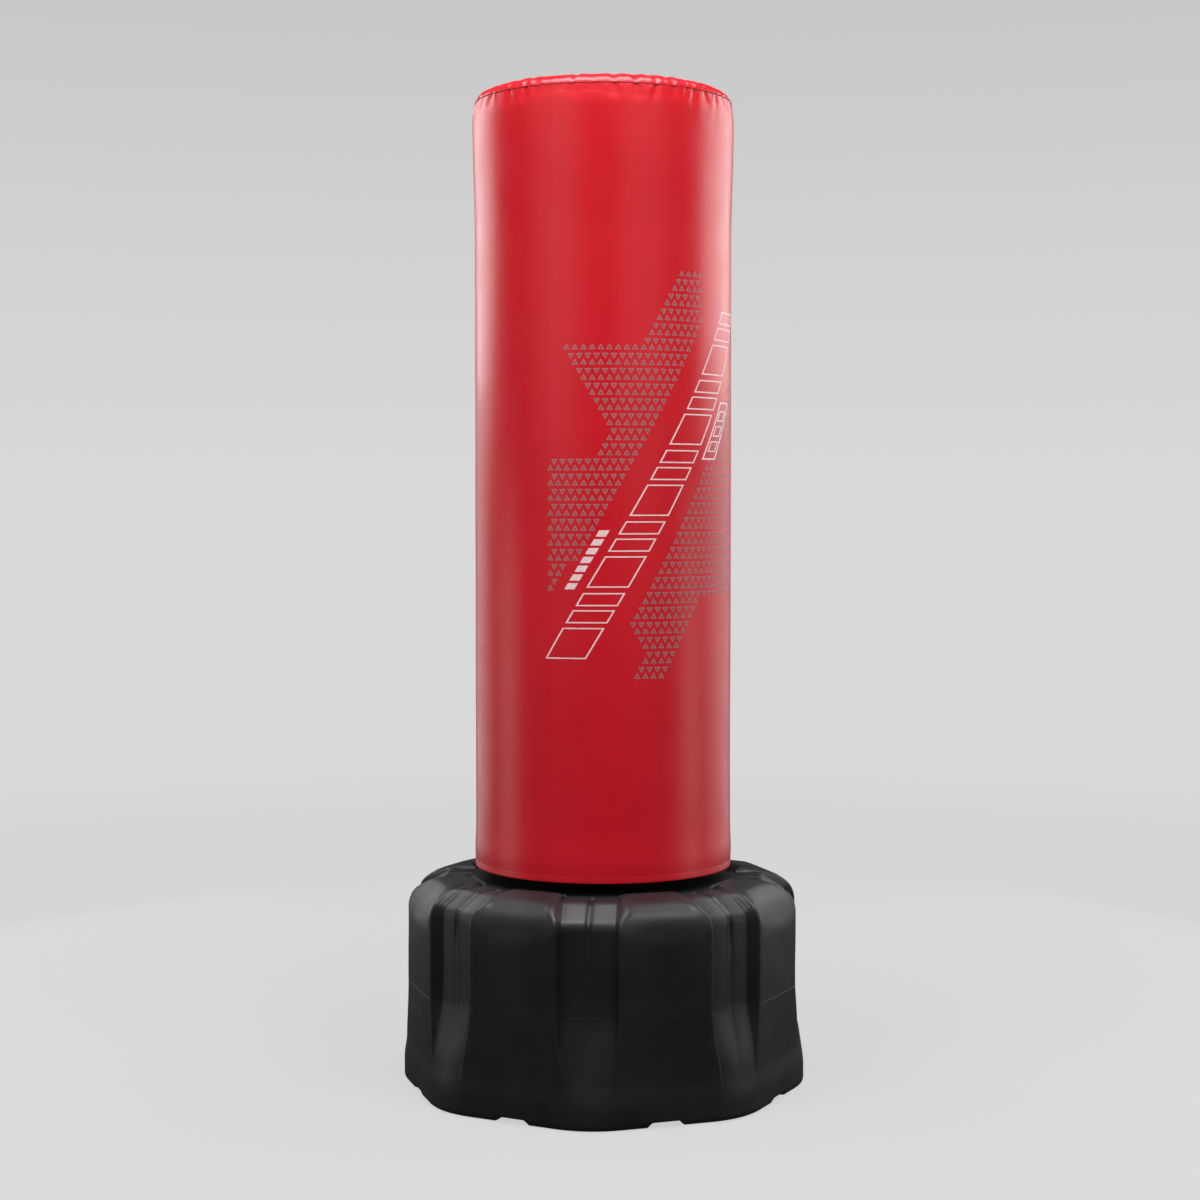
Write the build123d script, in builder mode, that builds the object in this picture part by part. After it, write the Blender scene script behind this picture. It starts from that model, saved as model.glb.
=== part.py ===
from build123d import *
import math
import os

os.makedirs("parts", exist_ok=True)

# ---------------------------------------------------------------------------
# Driving dimensions, millimetres. Origin: centre of the base on the floor.
# +Z runs up the bag, -Y is the front, and one channel of the base faces -Y.
# ---------------------------------------------------------------------------

# Tank: a hollow moulded octagon with a recessed channel at each corner
LOBES = 8
LOBE_STEP = 360 / LOBES
TANK_APOTHEM = 342.0
TANK_CORNER_R = 150.0
TANK_WALL = 5.0
WALL_EASE = 0.5
KNEE_EASE = 0.25
TANK_BOTTOM_R = 10.0
SHOULDER_R = 40.0
SHOULDER_Z = 362.0
TOP_SLOPE = 0.16
DISH_R = 236.0
DISH_Z = 369.0
TANK_TOP_Z = SHOULDER_Z + TOP_SLOPE * (TANK_APOTHEM - DISH_R)
TANK_REACH = 2 * TANK_APOTHEM

CHANNEL_FLOOR_WIDTH = 92.0
CHANNEL_DRAFT = 18.0
CHANNEL_REACH = 45.0
CHANNEL_R = 330.0
CHANNEL_KNEE_R = 284.0
CHANNEL_KNEE_Z = 368.0
CHANNEL_SHOULDER_Z = 341.0
CHANNEL_FADE_Z = 95.0
CHANNEL_END_R = 362.0
CHANNEL_END_Z = 40.0
CHANNEL_BENDS = (30.0, 25.0, 90.0)

GROOVE_WIDTH = 5.0
GROOVE_DEPTH = 2.5
GROOVE_END_Z = 293.0

PARTING_Z = 185.0
PARTING_HEIGHT = 1.6
PARTING_DEPTH = 0.8

NOTCH_WIDTH = 60.0
NOTCH_HEIGHT = 10.0
NOTCH_LENGTH = 90.0

# Neck of the tank, which the bag screws onto
NECK_R = 58.5
NECK_TOP_Z = 452.0
NECK_EDGE_R = 4.0
SEAT_R = 84.0
SEAT_Z = 382.0
THREAD_PITCH = 12.0
THREAD_HEIGHT = 3.5
THREAD_ROOT = 0.6
THREAD_FOOT = 3.0
THREAD_CREST = 1.6
THREAD_START_Z = 392.0
THREAD_LENGTH = 48.0

# Filler on the rear lobe
FILLER_R = 272.0
FILLER_ANGLE = 90 - LOBE_STEP / 2
BOSS_R = 32.0
BOSS_TOP_Z = 380.0
INSERT_R = 24.0
INSERT_BORE_R = 19.5
INSERT_BOTTOM_Z = 353.0
CAP_R = 27.0
CAP_HEAD = 9.0
CAP_PLUG_R = 18.9
CAP_PLUG_LENGTH = 22.0
CAP_GRIPS = 12
CAP_GRIP_R = 2.5
CAP_EDGE = 1.2
CAP_SLOT_LENGTH = 26.0
CAP_SLOT_WIDTH = 5.0
CAP_SLOT_DEPTH = 4.0
CAP_PLUG_WALL = 3.0
GASKET_THICKNESS = 2.0
GASKET_R = 25.5
GASKET_BORE_R = 19.3

# Sand ballast
SAND_CLEARANCE = 0.6
SAND_LEVEL_Z = 334.0

# Bag
BAG_R = 228.6
BAG_BOTTOM_Z = 391.0
BAG_SEAM_Z = 1750.0
BAG_TOP_Z = 1761.0
BAG_BULGE_R = 232.5
BAG_BULGE_Z = 1708.0
BAG_STRAIGHT_Z = 1508.0
SEAM_R = 229.0
SEAM_SETBACK = 0.4
SEAM_TANGENT = (-0.3, 1)
DOME_R = 205.0
DOME_DROP = 1.8
DOME_EDGE_LEAN = 0.2
HEM_RISE = 1.0
HEM_STITCH_Z = 398.0
THREAD_R = 0.4
SEAM_GAP = 0.1
BOTTOM_RELIEF = 10.0
VINYL = 1.6

WASHER_THICKNESS = 4.0
WASHER_R = 82.0
COLLAR_BORE_R = 63.0
COLLAR_R = 112.0
COLLAR_FLANGE = 8.5
COLLAR_HEIGHT = 72.0
SCREW_COUNT = 8
SCREW_CIRCLE_R = 97.0
SCREW_R = 2.5
SCREW_HEAD_R = 5.0
SCREW_LENGTH = 18.0

CORE_R = 75.0
CORE_WALL = 6.0
CORE_TOP_Z = 1688.0
CORE_CAP = 10.0
CORE_SPIGOT = 25.0
CORE_CAP_LEAD = 2.0
FIT_GAP = 0.1

PLATE_R = 224.0
PLATE_THICKNESS = 12.0
FOAM_R = 226.0
FOAM_SPLIT_R = 150.0
TOP_FOAM_R = 228.0
TOP_FOAM_Z = 1754.0
TOP_FOAM_EDGE_R = 22.0

# Back zip of the cover, on the +Y side
ZIP_BOTTOM_Z = 396.0
ZIP_TOP_Z = 1488.0
ZIP_SLOT = 14.0
SLOT_REACH = 100.0
TAPE_WIDTH = 14.0
TAPE_THICKNESS = 0.8
COIL_WIDTH = 2.6
COIL_HEIGHT = 2.2
COIL_GAP = 0.4
COIL_EDGE_R = 0.55
STITCH_X = 11.0
STITCH_SIZE = 0.8
STITCH_START_Z = 402.0
STOP_Z = 432.0
STOP_LENGTH = 6.0
STOP_WIDTH = 2.9
STOP_CHAMFER = 0.5
SLIDER_START = 0.5
SLIDER_LENGTH = 16.0
SLIDER_WIDTH = 11.0
SLIDER_ROOF = 1.6
SLIDER_CLEARANCE = 0.4
LUG_X = 2.6
LUG_THICKNESS = 1.6
LUG_R = 1.9
LUG_RISE = 2.2
PIN_R = 0.9
PULL_LENGTH = 32.0
PULL_WIDTH = 9.0
PULL_NECK = 8.0
PULL_EYE_WIDTH = 4.6
PULL_CORNER_R = 2.25
PULL_THICKNESS = 1.4
PULL_BARREL_R = 1.8
PULL_HOLE_R = 2.0


def save(builder, name):
    """Label the finished piece and write it under the same name."""
    builder.part.label = name
    export_step(builder.part, f"parts/{name}.step")


def tank_form(inset):
    """The tank's outer form, or with an inset the form of the hollow inside its wall."""
    apothem = TANK_APOTHEM - inset
    with BuildPart() as form:
        with BuildSketch(Plane.XY.offset(inset)):
            RegularPolygon(apothem, LOBES, major_radius=False)
            fillet(vertices(), TANK_CORNER_R - inset)
        extrude(amount=TANK_TOP_Z - inset)
        fillet(faces().sort_by(Axis.Z)[0].edges(), TANK_BOTTOM_R - WALL_EASE * inset)

        # gently falling top
        with BuildSketch(Plane.XZ):
            with BuildLine():
                Polyline(
                    (0, 0),
                    (TANK_REACH, 0),
                    (TANK_REACH, SHOULDER_Z - inset - TOP_SLOPE * (TANK_REACH - TANK_APOTHEM)),
                    (DISH_R, TANK_TOP_Z - inset),
                    (0, TANK_TOP_Z - inset),
                    close=True,
                )
            make_face()
        revolve(axis=Axis.Z, mode=Mode.INTERSECT)
        rim = form.edges().filter_by(lambda e: e.center().Z > PARTING_Z and e.length < 2 * DISH_R)
        fillet(rim, SHOULDER_R - inset)

        # dish under the bag
        with BuildSketch(Plane.XY.offset(DISH_Z - inset)):
            Circle(DISH_R + inset)
        extrude(amount=TANK_TOP_Z, mode=Mode.SUBTRACT)

        # recessed channels, each following one line over the shoulder and down the wall
        with BuildLine(Plane.XZ) as floor_line:
            FilletPolyline(
                (DISH_R / 2, DISH_Z - inset),
                (CHANNEL_KNEE_R - KNEE_EASE * inset, CHANNEL_KNEE_Z - inset),
                (CHANNEL_R - inset, CHANNEL_SHOULDER_Z - WALL_EASE * inset),
                (CHANNEL_R - inset, CHANNEL_FADE_Z),
                (CHANNEL_END_R - inset, CHANNEL_END_Z),
                radius=CHANNEL_BENDS,
            )
        spread = CHANNEL_REACH * math.tan(math.radians(CHANNEL_DRAFT))
        half = CHANNEL_FLOOR_WIDTH / 2 + inset
        start = Plane(origin=floor_line.line @ 0, x_dir=(0, 1, 0), z_dir=floor_line.line % 0)
        with BuildSketch(start):
            with BuildLine():
                Polyline(
                    (-half, 0),
                    (half, 0),
                    (half + spread, CHANNEL_REACH),
                    (-half - spread, CHANNEL_REACH),
                    close=True,
                )
            make_face()
        cutter = sweep(path=floor_line.line, mode=Mode.PRIVATE)
        with PolarLocations(0, LOBES):
            add(cutter, mode=Mode.SUBTRACT)

        # arches between the feet
        with PolarLocations(apothem, LOBES, start_angle=LOBE_STEP / 2):
            Box(
                NOTCH_LENGTH + 2 * inset,
                NOTCH_WIDTH + 2 * inset,
                2 * (NOTCH_HEIGHT + inset),
                mode=Mode.SUBTRACT,
            )
    return form.part


# --------------------------------------------------------------------- tank

filler_place = Location(
    (
        FILLER_R * math.cos(math.radians(FILLER_ANGLE)),
        FILLER_R * math.sin(math.radians(FILLER_ANGLE)),
        0,
    )
)

with BuildPart() as base_shell:
    add(tank_form(0))

    # centre groove of each channel, running out on the wall
    with BuildLine(Plane.XZ) as groove_line:
        FilletPolyline(
            (DISH_R / 2, DISH_Z),
            (CHANNEL_KNEE_R, CHANNEL_KNEE_Z),
            (CHANNEL_R, CHANNEL_SHOULDER_Z),
            (CHANNEL_R, GROOVE_END_Z),
            radius=CHANNEL_BENDS[:2],
        )
    groove_plane = Plane(
        origin=groove_line.line @ 0, x_dir=(0, 1, 0), z_dir=groove_line.line % 0
    )
    with BuildSketch(groove_plane):
        Rectangle(GROOVE_WIDTH, 2 * GROOVE_DEPTH)
    groove = sweep(path=groove_line.line, mode=Mode.PRIVATE)
    with PolarLocations(0, LOBES):
        add(groove, mode=Mode.SUBTRACT)

    # parting line of the mould
    outline = section(base_shell.part, Plane.XY.offset(PARTING_Z), mode=Mode.PRIVATE)
    with BuildSketch(Plane.XY.offset(PARTING_Z)):
        add(outline)
        offset(outline, amount=-PARTING_DEPTH, mode=Mode.SUBTRACT)
    extrude(amount=PARTING_HEIGHT / 2, both=True, mode=Mode.SUBTRACT)

    # seat ring and neck
    with BuildSketch(Plane.XY.offset(DISH_Z - TANK_WALL)):
        Circle(SEAT_R)
    extrude(amount=SEAT_Z - DISH_Z + TANK_WALL)
    with BuildSketch(Plane.XY.offset(SEAT_Z)):
        Circle(NECK_R)
    extrude(amount=NECK_TOP_Z - SEAT_Z)
    fillet(faces().sort_by(Axis.Z)[-1].edges(), NECK_EDGE_R)

    # level boss round the filler
    with BuildSketch(Plane.XY.offset(SHOULDER_Z)):
        with Locations(filler_place):
            Circle(BOSS_R)
    extrude(amount=BOSS_TOP_Z - SHOULDER_Z)

    # the hollow for the ballast, which runs up into the neck
    add(tank_form(TANK_WALL), mode=Mode.SUBTRACT)
    with BuildSketch(Plane.XY.offset(DISH_Z - 2 * TANK_WALL)):
        Circle(SEAT_R - TANK_WALL)
    extrude(amount=SEAT_Z - DISH_Z + TANK_WALL, mode=Mode.SUBTRACT)
    with BuildSketch(Plane.XY.offset(DISH_Z)):
        Circle(NECK_R - TANK_WALL)
    extrude(amount=NECK_TOP_Z - TANK_WALL - DISH_Z, mode=Mode.SUBTRACT)

    # filler hole
    with BuildSketch(Plane.XY.offset(INSERT_BOTTOM_Z)):
        with Locations(filler_place):
            Circle(INSERT_R)
    extrude(amount=BOSS_TOP_Z, mode=Mode.SUBTRACT)

    # coarse thread on the neck
    with BuildLine() as thread_line:
        Helix(THREAD_PITCH, THREAD_LENGTH, NECK_R, center=(0, 0, THREAD_START_Z))
    thread_plane = Plane(
        origin=thread_line.line @ 0, x_dir=(1, 0, 0), z_dir=thread_line.line % 0
    )
    with BuildSketch(thread_plane):
        with BuildLine():
            Polyline(
                (-THREAD_ROOT, -THREAD_FOOT),
                (THREAD_HEIGHT, -THREAD_CREST),
                (THREAD_HEIGHT, THREAD_CREST),
                (-THREAD_ROOT, THREAD_FOOT),
                close=True,
            )
        make_face()
    sweep(path=thread_line.line, is_frenet=True)
save(base_shell, "base_shell")

with BuildPart() as ballast_sand:
    add(tank_form(TANK_WALL + SAND_CLEARANCE))
    with BuildSketch(Plane.XY.offset(SAND_LEVEL_Z)):
        Circle(TANK_REACH)
    extrude(amount=NECK_TOP_Z, mode=Mode.SUBTRACT)
save(ballast_sand, "ballast_sand")

# ------------------------------------------------------------------- filler

with BuildPart() as filler_insert:
    with BuildSketch(Plane.XY.offset(INSERT_BOTTOM_Z)):
        with Locations(filler_place):
            Circle(INSERT_R)
            Circle(INSERT_BORE_R, mode=Mode.SUBTRACT)
    extrude(amount=BOSS_TOP_Z - INSERT_BOTTOM_Z)
save(filler_insert, "filler_insert")

with BuildPart() as filler_gasket:
    with BuildSketch(Plane.XY.offset(BOSS_TOP_Z)):
        with Locations(filler_place):
            Circle(GASKET_R)
            Circle(GASKET_BORE_R, mode=Mode.SUBTRACT)
    extrude(amount=GASKET_THICKNESS)
save(filler_gasket, "filler_gasket")

cap_under_z = BOSS_TOP_Z + GASKET_THICKNESS
with BuildPart() as filler_cap:
    with BuildSketch(Plane.XY.offset(cap_under_z)):
        with Locations(filler_place):
            Circle(CAP_R)
            with PolarLocations(CAP_R, CAP_GRIPS):
                Circle(CAP_GRIP_R, mode=Mode.SUBTRACT)
    extrude(amount=CAP_HEAD)
    chamfer(faces().sort_by(Axis.Z)[-1].edges(), CAP_EDGE)
    with BuildSketch(Plane.XY.offset(cap_under_z + CAP_HEAD)):
        with Locations(filler_place):
            Rectangle(CAP_SLOT_LENGTH, CAP_SLOT_WIDTH)
            Rectangle(CAP_SLOT_WIDTH, CAP_SLOT_LENGTH)
    extrude(amount=-CAP_SLOT_DEPTH, mode=Mode.SUBTRACT)
    with BuildSketch(Plane.XY.offset(cap_under_z)):
        with Locations(filler_place):
            Circle(CAP_PLUG_R)
            Circle(CAP_PLUG_R - CAP_PLUG_WALL, mode=Mode.SUBTRACT)
    extrude(amount=-CAP_PLUG_LENGTH)
save(filler_cap, "filler_cap")

# ----------------------------------------------------- inside of the bag

with BuildPart() as slip_washer:
    with BuildSketch(Plane.XY.offset(SEAT_Z)):
        Circle(WASHER_R)
        Circle(COLLAR_BORE_R, mode=Mode.SUBTRACT)
    extrude(amount=WASHER_THICKNESS)
save(slip_washer, "slip_washer")

collar_z = SEAT_Z + WASHER_THICKNESS
plate_z = collar_z + COLLAR_FLANGE
foam_z = plate_z + PLATE_THICKNESS

with BuildPart() as threaded_collar:
    with BuildSketch(Plane.XY.offset(collar_z)):
        Circle(COLLAR_R)
    extrude(amount=COLLAR_FLANGE)
    with BuildSketch(Plane.XY.offset(plate_z)):
        Circle(CORE_R - CORE_WALL - FIT_GAP)
    extrude(amount=COLLAR_HEIGHT - COLLAR_FLANGE)
    with BuildSketch(Plane.XY.offset(collar_z)):
        Circle(COLLAR_BORE_R)
    extrude(amount=COLLAR_HEIGHT, mode=Mode.SUBTRACT)
    with Locations(Plane(origin=(0, 0, collar_z), z_dir=(0, 0, -1))):
        with PolarLocations(SCREW_CIRCLE_R, SCREW_COUNT):
            CounterSinkHole(SCREW_R, SCREW_HEAD_R, depth=COLLAR_FLANGE)
save(threaded_collar, "threaded_collar")

with BuildPart() as bottom_plate:
    with BuildSketch(Plane.XY.offset(plate_z)):
        Circle(PLATE_R)
        Circle(CORE_R + FIT_GAP, mode=Mode.SUBTRACT)
        with PolarLocations(SCREW_CIRCLE_R, SCREW_COUNT):
            Circle(SCREW_R, mode=Mode.SUBTRACT)
    extrude(amount=PLATE_THICKNESS)
save(bottom_plate, "bottom_plate")

with BuildPart() as collar_screws:
    with BuildSketch(Plane.XZ):
        with BuildLine():
            Polyline(
                (SCREW_CIRCLE_R, collar_z),
                (SCREW_CIRCLE_R + SCREW_HEAD_R - FIT_GAP, collar_z),
                (SCREW_CIRCLE_R + SCREW_R - FIT_GAP, collar_z + SCREW_HEAD_R - SCREW_R),
                (SCREW_CIRCLE_R + SCREW_R - FIT_GAP, collar_z + SCREW_LENGTH - SCREW_R),
                (SCREW_CIRCLE_R, collar_z + SCREW_LENGTH),
                close=True,
            )
        make_face()
    screw = revolve(axis=Axis((SCREW_CIRCLE_R, 0, 0), (0, 0, 1)), mode=Mode.PRIVATE)
    with PolarLocations(0, SCREW_COUNT):
        add(screw)
save(collar_screws, "collar_screws")

with BuildPart() as core_tube:
    with BuildSketch(Plane.XY.offset(plate_z)):
        Circle(CORE_R)
        Circle(CORE_R - CORE_WALL, mode=Mode.SUBTRACT)
    extrude(amount=CORE_TOP_Z - plate_z)
save(core_tube, "core_tube")

with BuildPart() as core_cap:
    with BuildSketch(Plane.XY.offset(CORE_TOP_Z)):
        Circle(CORE_R)
    extrude(amount=CORE_CAP)
    with BuildSketch(Plane.XY.offset(CORE_TOP_Z)):
        Circle(CORE_R - CORE_WALL - FIT_GAP)
    extrude(amount=-CORE_SPIGOT)
    chamfer(faces().sort_by(Axis.Z)[0].edges(), CORE_CAP_LEAD)
save(core_cap, "core_cap")

foam_top_z = CORE_TOP_Z + CORE_CAP
foam_layers = (
    ("firm_foam", CORE_R + FIT_GAP, FOAM_SPLIT_R),
    ("soft_foam", FOAM_SPLIT_R, FOAM_R),
)
for foam_name, inner_r, outer_r in foam_layers:
    with BuildPart() as foam:
        with BuildSketch(Plane.XY.offset(foam_z)):
            Circle(outer_r)
            Circle(inner_r, mode=Mode.SUBTRACT)
        extrude(amount=foam_top_z - foam_z)
    save(foam, foam_name)

with BuildPart() as top_foam:
    with BuildSketch(Plane.XY.offset(foam_top_z)):
        Circle(TOP_FOAM_R)
    extrude(amount=TOP_FOAM_Z - foam_top_z)
    fillet(faces().sort_by(Axis.Z)[-1].edges(), TOP_FOAM_EDGE_R)
save(top_foam, "top_foam")

# -------------------------------------------------------------------- cover


def sleeve_side(inset):
    """One side of the sleeve's section: straight, then a slight swell below the top seam."""
    Line((BAG_R - inset, BAG_BOTTOM_Z), (BAG_R - inset, BAG_STRAIGHT_Z))
    Spline(
        (BAG_R - inset, BAG_STRAIGHT_Z),
        (BAG_BULGE_R - inset, BAG_BULGE_Z),
        (SEAM_R - inset, BAG_SEAM_Z),
        tangents=((0, 1), SEAM_TANGENT),
    )


with BuildPart() as cover_sleeve:
    with BuildSketch(Plane.XZ):
        with BuildLine():
            sleeve_side(0)
            Line((SEAM_R, BAG_SEAM_Z), (SEAM_R - VINYL, BAG_SEAM_Z))
            sleeve_side(VINYL)
            Line((BAG_R - VINYL, BAG_BOTTOM_Z), (BAG_R, BAG_BOTTOM_Z))
        make_face()
    revolve(axis=Axis.Z)
    with Locations((0, BAG_R, (BAG_BOTTOM_Z + ZIP_TOP_Z) / 2)):
        Box(ZIP_SLOT, SLOT_REACH, ZIP_TOP_Z - BAG_BOTTOM_Z, mode=Mode.SUBTRACT)
save(cover_sleeve, "cover_sleeve")

with BuildPart() as cover_top:
    with BuildSketch(Plane.XZ):
        with BuildLine():
            Spline(
                (0, BAG_TOP_Z),
                (DOME_R, BAG_TOP_Z - DOME_DROP),
                (SEAM_R - SEAM_SETBACK, BAG_SEAM_Z),
                tangents=((1, 0), (DOME_EDGE_LEAN, -1)),
            )
            Line(
                (SEAM_R - SEAM_SETBACK, BAG_SEAM_Z),
                (SEAM_R - SEAM_SETBACK - VINYL, BAG_SEAM_Z),
            )
            Spline(
                (SEAM_R - SEAM_SETBACK - VINYL, BAG_SEAM_Z),
                (DOME_R - VINYL / 2, BAG_TOP_Z - DOME_DROP - VINYL),
                (0, BAG_TOP_Z - VINYL),
                tangents=((-DOME_EDGE_LEAN, 1), (-1, 0)),
            )
            Line((0, BAG_TOP_Z - VINYL), (0, BAG_TOP_Z))
        make_face()
    revolve(axis=Axis.Z)
save(cover_top, "cover_top")

with BuildPart() as cover_bottom:
    with BuildSketch(Plane.XY.offset(BAG_BOTTOM_Z + HEM_RISE)):
        Circle(BAG_R - VINYL - HEM_RISE)
        Circle(COLLAR_R + HEM_RISE, mode=Mode.SUBTRACT)
        with Locations((0, BAG_R)):
            Rectangle(ZIP_SLOT + 2 * TAPE_WIDTH, BOTTOM_RELIEF, mode=Mode.SUBTRACT)
    extrude(amount=VINYL)
save(cover_bottom, "cover_bottom")

with BuildPart() as top_seam_thread:
    with BuildSketch(Plane.XZ):
        with Locations((SEAM_R + THREAD_R / 2, BAG_SEAM_Z + THREAD_R + SEAM_GAP)):
            Circle(THREAD_R)
    revolve(axis=Axis.Z)
save(top_seam_thread, "top_seam_thread")

with BuildPart() as hem_thread:
    with BuildSketch(Plane.XZ):
        with Locations((BAG_R + THREAD_R, HEM_STITCH_Z)):
            Circle(THREAD_R)
    revolve(axis=Axis.Z)
    with Locations((0, BAG_R, HEM_STITCH_Z)):
        Box(ZIP_SLOT, SLOT_REACH, VINYL, mode=Mode.SUBTRACT)
save(hem_thread, "hem_thread")

# ----------------------------------------------------------------- back zip

tape_top_r = BAG_R - VINYL
coil_bottom_z = STOP_Z + STOP_LENGTH
coil_top_z = ZIP_TOP_Z - STOP_LENGTH
coil_outer_x = COIL_GAP / 2 + COIL_WIDTH

for side_name, side in (("left", -1), ("right", 1)):
    with BuildPart() as zip_tape:
        with BuildSketch(Plane.XY.offset(ZIP_BOTTOM_Z)):
            Circle(tape_top_r)
            Circle(tape_top_r - TAPE_THICKNESS, mode=Mode.SUBTRACT)
            with Locations((side * (COIL_GAP + TAPE_WIDTH) / 2, tape_top_r)):
                Rectangle(TAPE_WIDTH, SLOT_REACH, mode=Mode.INTERSECT)
        extrude(amount=ZIP_TOP_Z - ZIP_BOTTOM_Z)
    save(zip_tape, f"zip_tape_{side_name}")

    with BuildPart() as zip_teeth:
        with BuildSketch(Plane.XY.offset(coil_bottom_z)):
            with Locations((side * (COIL_GAP + COIL_WIDTH) / 2, tape_top_r + COIL_HEIGHT / 2)):
                RectangleRounded(COIL_WIDTH, COIL_HEIGHT, COIL_EDGE_R)
        extrude(amount=coil_top_z - coil_bottom_z)
    save(zip_teeth, f"zip_teeth_{side_name}")

with BuildPart() as zip_bottom_stops:
    with BuildSketch(Plane.XY.offset(STOP_Z)):
        with Locations((0, tape_top_r + COIL_HEIGHT / 2)):
            with GridLocations(COIL_GAP + STOP_WIDTH, 1, 2, 1):
                Rectangle(STOP_WIDTH, COIL_HEIGHT)
    extrude(amount=STOP_LENGTH)
    chamfer(edges().filter_by(Axis.Z).group_by(Axis.Y)[-1], STOP_CHAMFER)
save(zip_bottom_stops, "zip_bottom_stops")

with BuildPart() as zip_end_stop:
    with BuildSketch(Plane.XY.offset(coil_top_z)):
        with Locations((0, tape_top_r + COIL_HEIGHT / 2)):
            Rectangle(2 * coil_outer_x, COIL_HEIGHT)
    extrude(amount=STOP_LENGTH)
    chamfer(edges().filter_by(Axis.Z).group_by(Axis.Y)[-1], STOP_CHAMFER)
save(zip_end_stop, "zip_end_stop")

stitch_y = math.sqrt(BAG_R**2 - (STITCH_X - STITCH_SIZE) ** 2)
with BuildPart() as zip_stitching:
    with BuildSketch(Plane.XY.offset(STITCH_START_Z)):
        with Locations((0, stitch_y + STITCH_SIZE / 2)):
            with GridLocations(2 * STITCH_X, 1, 2, 1):
                Rectangle(STITCH_SIZE, STITCH_SIZE)
    extrude(amount=ZIP_TOP_Z - STITCH_START_Z)
save(zip_stitching, "zip_stitching")

# slider: a channel over the teeth, with two lugs that hold the pull's pin
slider_mid_z = coil_bottom_z + SLIDER_START + SLIDER_LENGTH / 2
slider_foot_y = tape_top_r + SLIDER_CLEARANCE
channel_roof_y = tape_top_r + COIL_HEIGHT + SLIDER_CLEARANCE
roof_y = channel_roof_y + SLIDER_ROOF
pin_y = roof_y + LUG_RISE
pin_z = slider_mid_z - SLIDER_LENGTH / 2 + LUG_R
channel_half = coil_outer_x + SLIDER_CLEARANCE

with BuildPart() as zip_slider:
    with BuildSketch(Plane.XY.offset(slider_mid_z - SLIDER_LENGTH / 2)):
        with Locations((0, (slider_foot_y + roof_y) / 2)):
            Rectangle(SLIDER_WIDTH, roof_y - slider_foot_y)
        with Locations((0, (slider_foot_y + channel_roof_y) / 2)):
            Rectangle(2 * channel_half, channel_roof_y - slider_foot_y, mode=Mode.SUBTRACT)
    extrude(amount=SLIDER_LENGTH)
    chamfer(edges().filter_by(Axis.Z).group_by(Axis.Y)[-1], STOP_CHAMFER)
    with BuildSketch(Plane.YZ.offset(-LUG_X - LUG_THICKNESS)):
        with Locations((pin_y, pin_z)):
            Circle(LUG_R)
        with Locations(((roof_y + pin_y) / 2, pin_z)):
            Rectangle(pin_y - roof_y, 2 * LUG_R)
    extrude(amount=2 * (LUG_X + LUG_THICKNESS))
    with Locations((0, pin_y + LUG_R, pin_z)):
        Box(2 * LUG_X, 2 * (pin_y + LUG_R - roof_y), 4 * LUG_R, mode=Mode.SUBTRACT)
    with BuildSketch(Plane.YZ.offset(-LUG_X - LUG_THICKNESS)):
        with Locations((pin_y, pin_z)):
            Circle(PIN_R)
    extrude(amount=2 * (LUG_X + LUG_THICKNESS), mode=Mode.SUBTRACT)
save(zip_slider, "zip_slider")

with BuildPart() as zip_pull_pin:
    with BuildSketch(Plane.YZ.offset(-LUG_X - LUG_THICKNESS)):
        with Locations((pin_y, pin_z)):
            Circle(PIN_R)
    extrude(amount=2 * (LUG_X + LUG_THICKNESS))
save(zip_pull_pin, "zip_pull_pin")

with BuildPart() as zip_pull:
    with BuildSketch(Plane.XZ.offset(-pin_y)):
        with Locations((0, pin_z - PULL_NECK)):
            Rectangle(PULL_EYE_WIDTH, PULL_NECK, align=(Align.CENTER, Align.MIN))
            Rectangle(PULL_WIDTH, PULL_LENGTH - PULL_NECK, align=(Align.CENTER, Align.MAX))
        fillet(vertices().group_by(Axis.Y)[0], PULL_CORNER_R)
        with Locations((0, pin_z - PULL_LENGTH + PULL_WIDTH / 2)):
            Circle(PULL_HOLE_R, mode=Mode.SUBTRACT)
    extrude(amount=PULL_THICKNESS / 2, both=True)
    with BuildSketch(Plane.YZ.offset(-PULL_EYE_WIDTH / 2)):
        with Locations((pin_y, pin_z)):
            Circle(PULL_BARREL_R)
    extrude(amount=PULL_EYE_WIDTH)
    with BuildSketch(Plane.YZ.offset(-PULL_EYE_WIDTH / 2)):
        with Locations((pin_y, pin_z)):
            Circle(PIN_R + FIT_GAP)
    extrude(amount=PULL_EYE_WIDTH, mode=Mode.SUBTRACT)
save(zip_pull, "zip_pull")
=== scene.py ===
import math

import bmesh
import bpy
import numpy as np
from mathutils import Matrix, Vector, noise


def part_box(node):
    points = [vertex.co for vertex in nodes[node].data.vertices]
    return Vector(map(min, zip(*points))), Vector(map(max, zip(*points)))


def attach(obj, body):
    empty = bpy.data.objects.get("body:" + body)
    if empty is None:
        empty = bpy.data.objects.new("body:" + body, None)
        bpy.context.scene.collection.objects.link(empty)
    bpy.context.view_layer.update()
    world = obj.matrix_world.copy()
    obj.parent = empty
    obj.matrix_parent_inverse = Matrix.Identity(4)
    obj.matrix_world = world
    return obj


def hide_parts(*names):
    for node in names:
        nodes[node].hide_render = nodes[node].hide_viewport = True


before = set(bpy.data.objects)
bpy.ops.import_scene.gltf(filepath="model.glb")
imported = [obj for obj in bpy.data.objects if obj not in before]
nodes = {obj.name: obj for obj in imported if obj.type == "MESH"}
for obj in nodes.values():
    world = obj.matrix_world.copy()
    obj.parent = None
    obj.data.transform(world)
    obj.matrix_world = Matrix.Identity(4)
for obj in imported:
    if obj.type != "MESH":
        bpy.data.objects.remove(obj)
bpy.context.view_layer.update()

MM = 0.001

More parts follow.
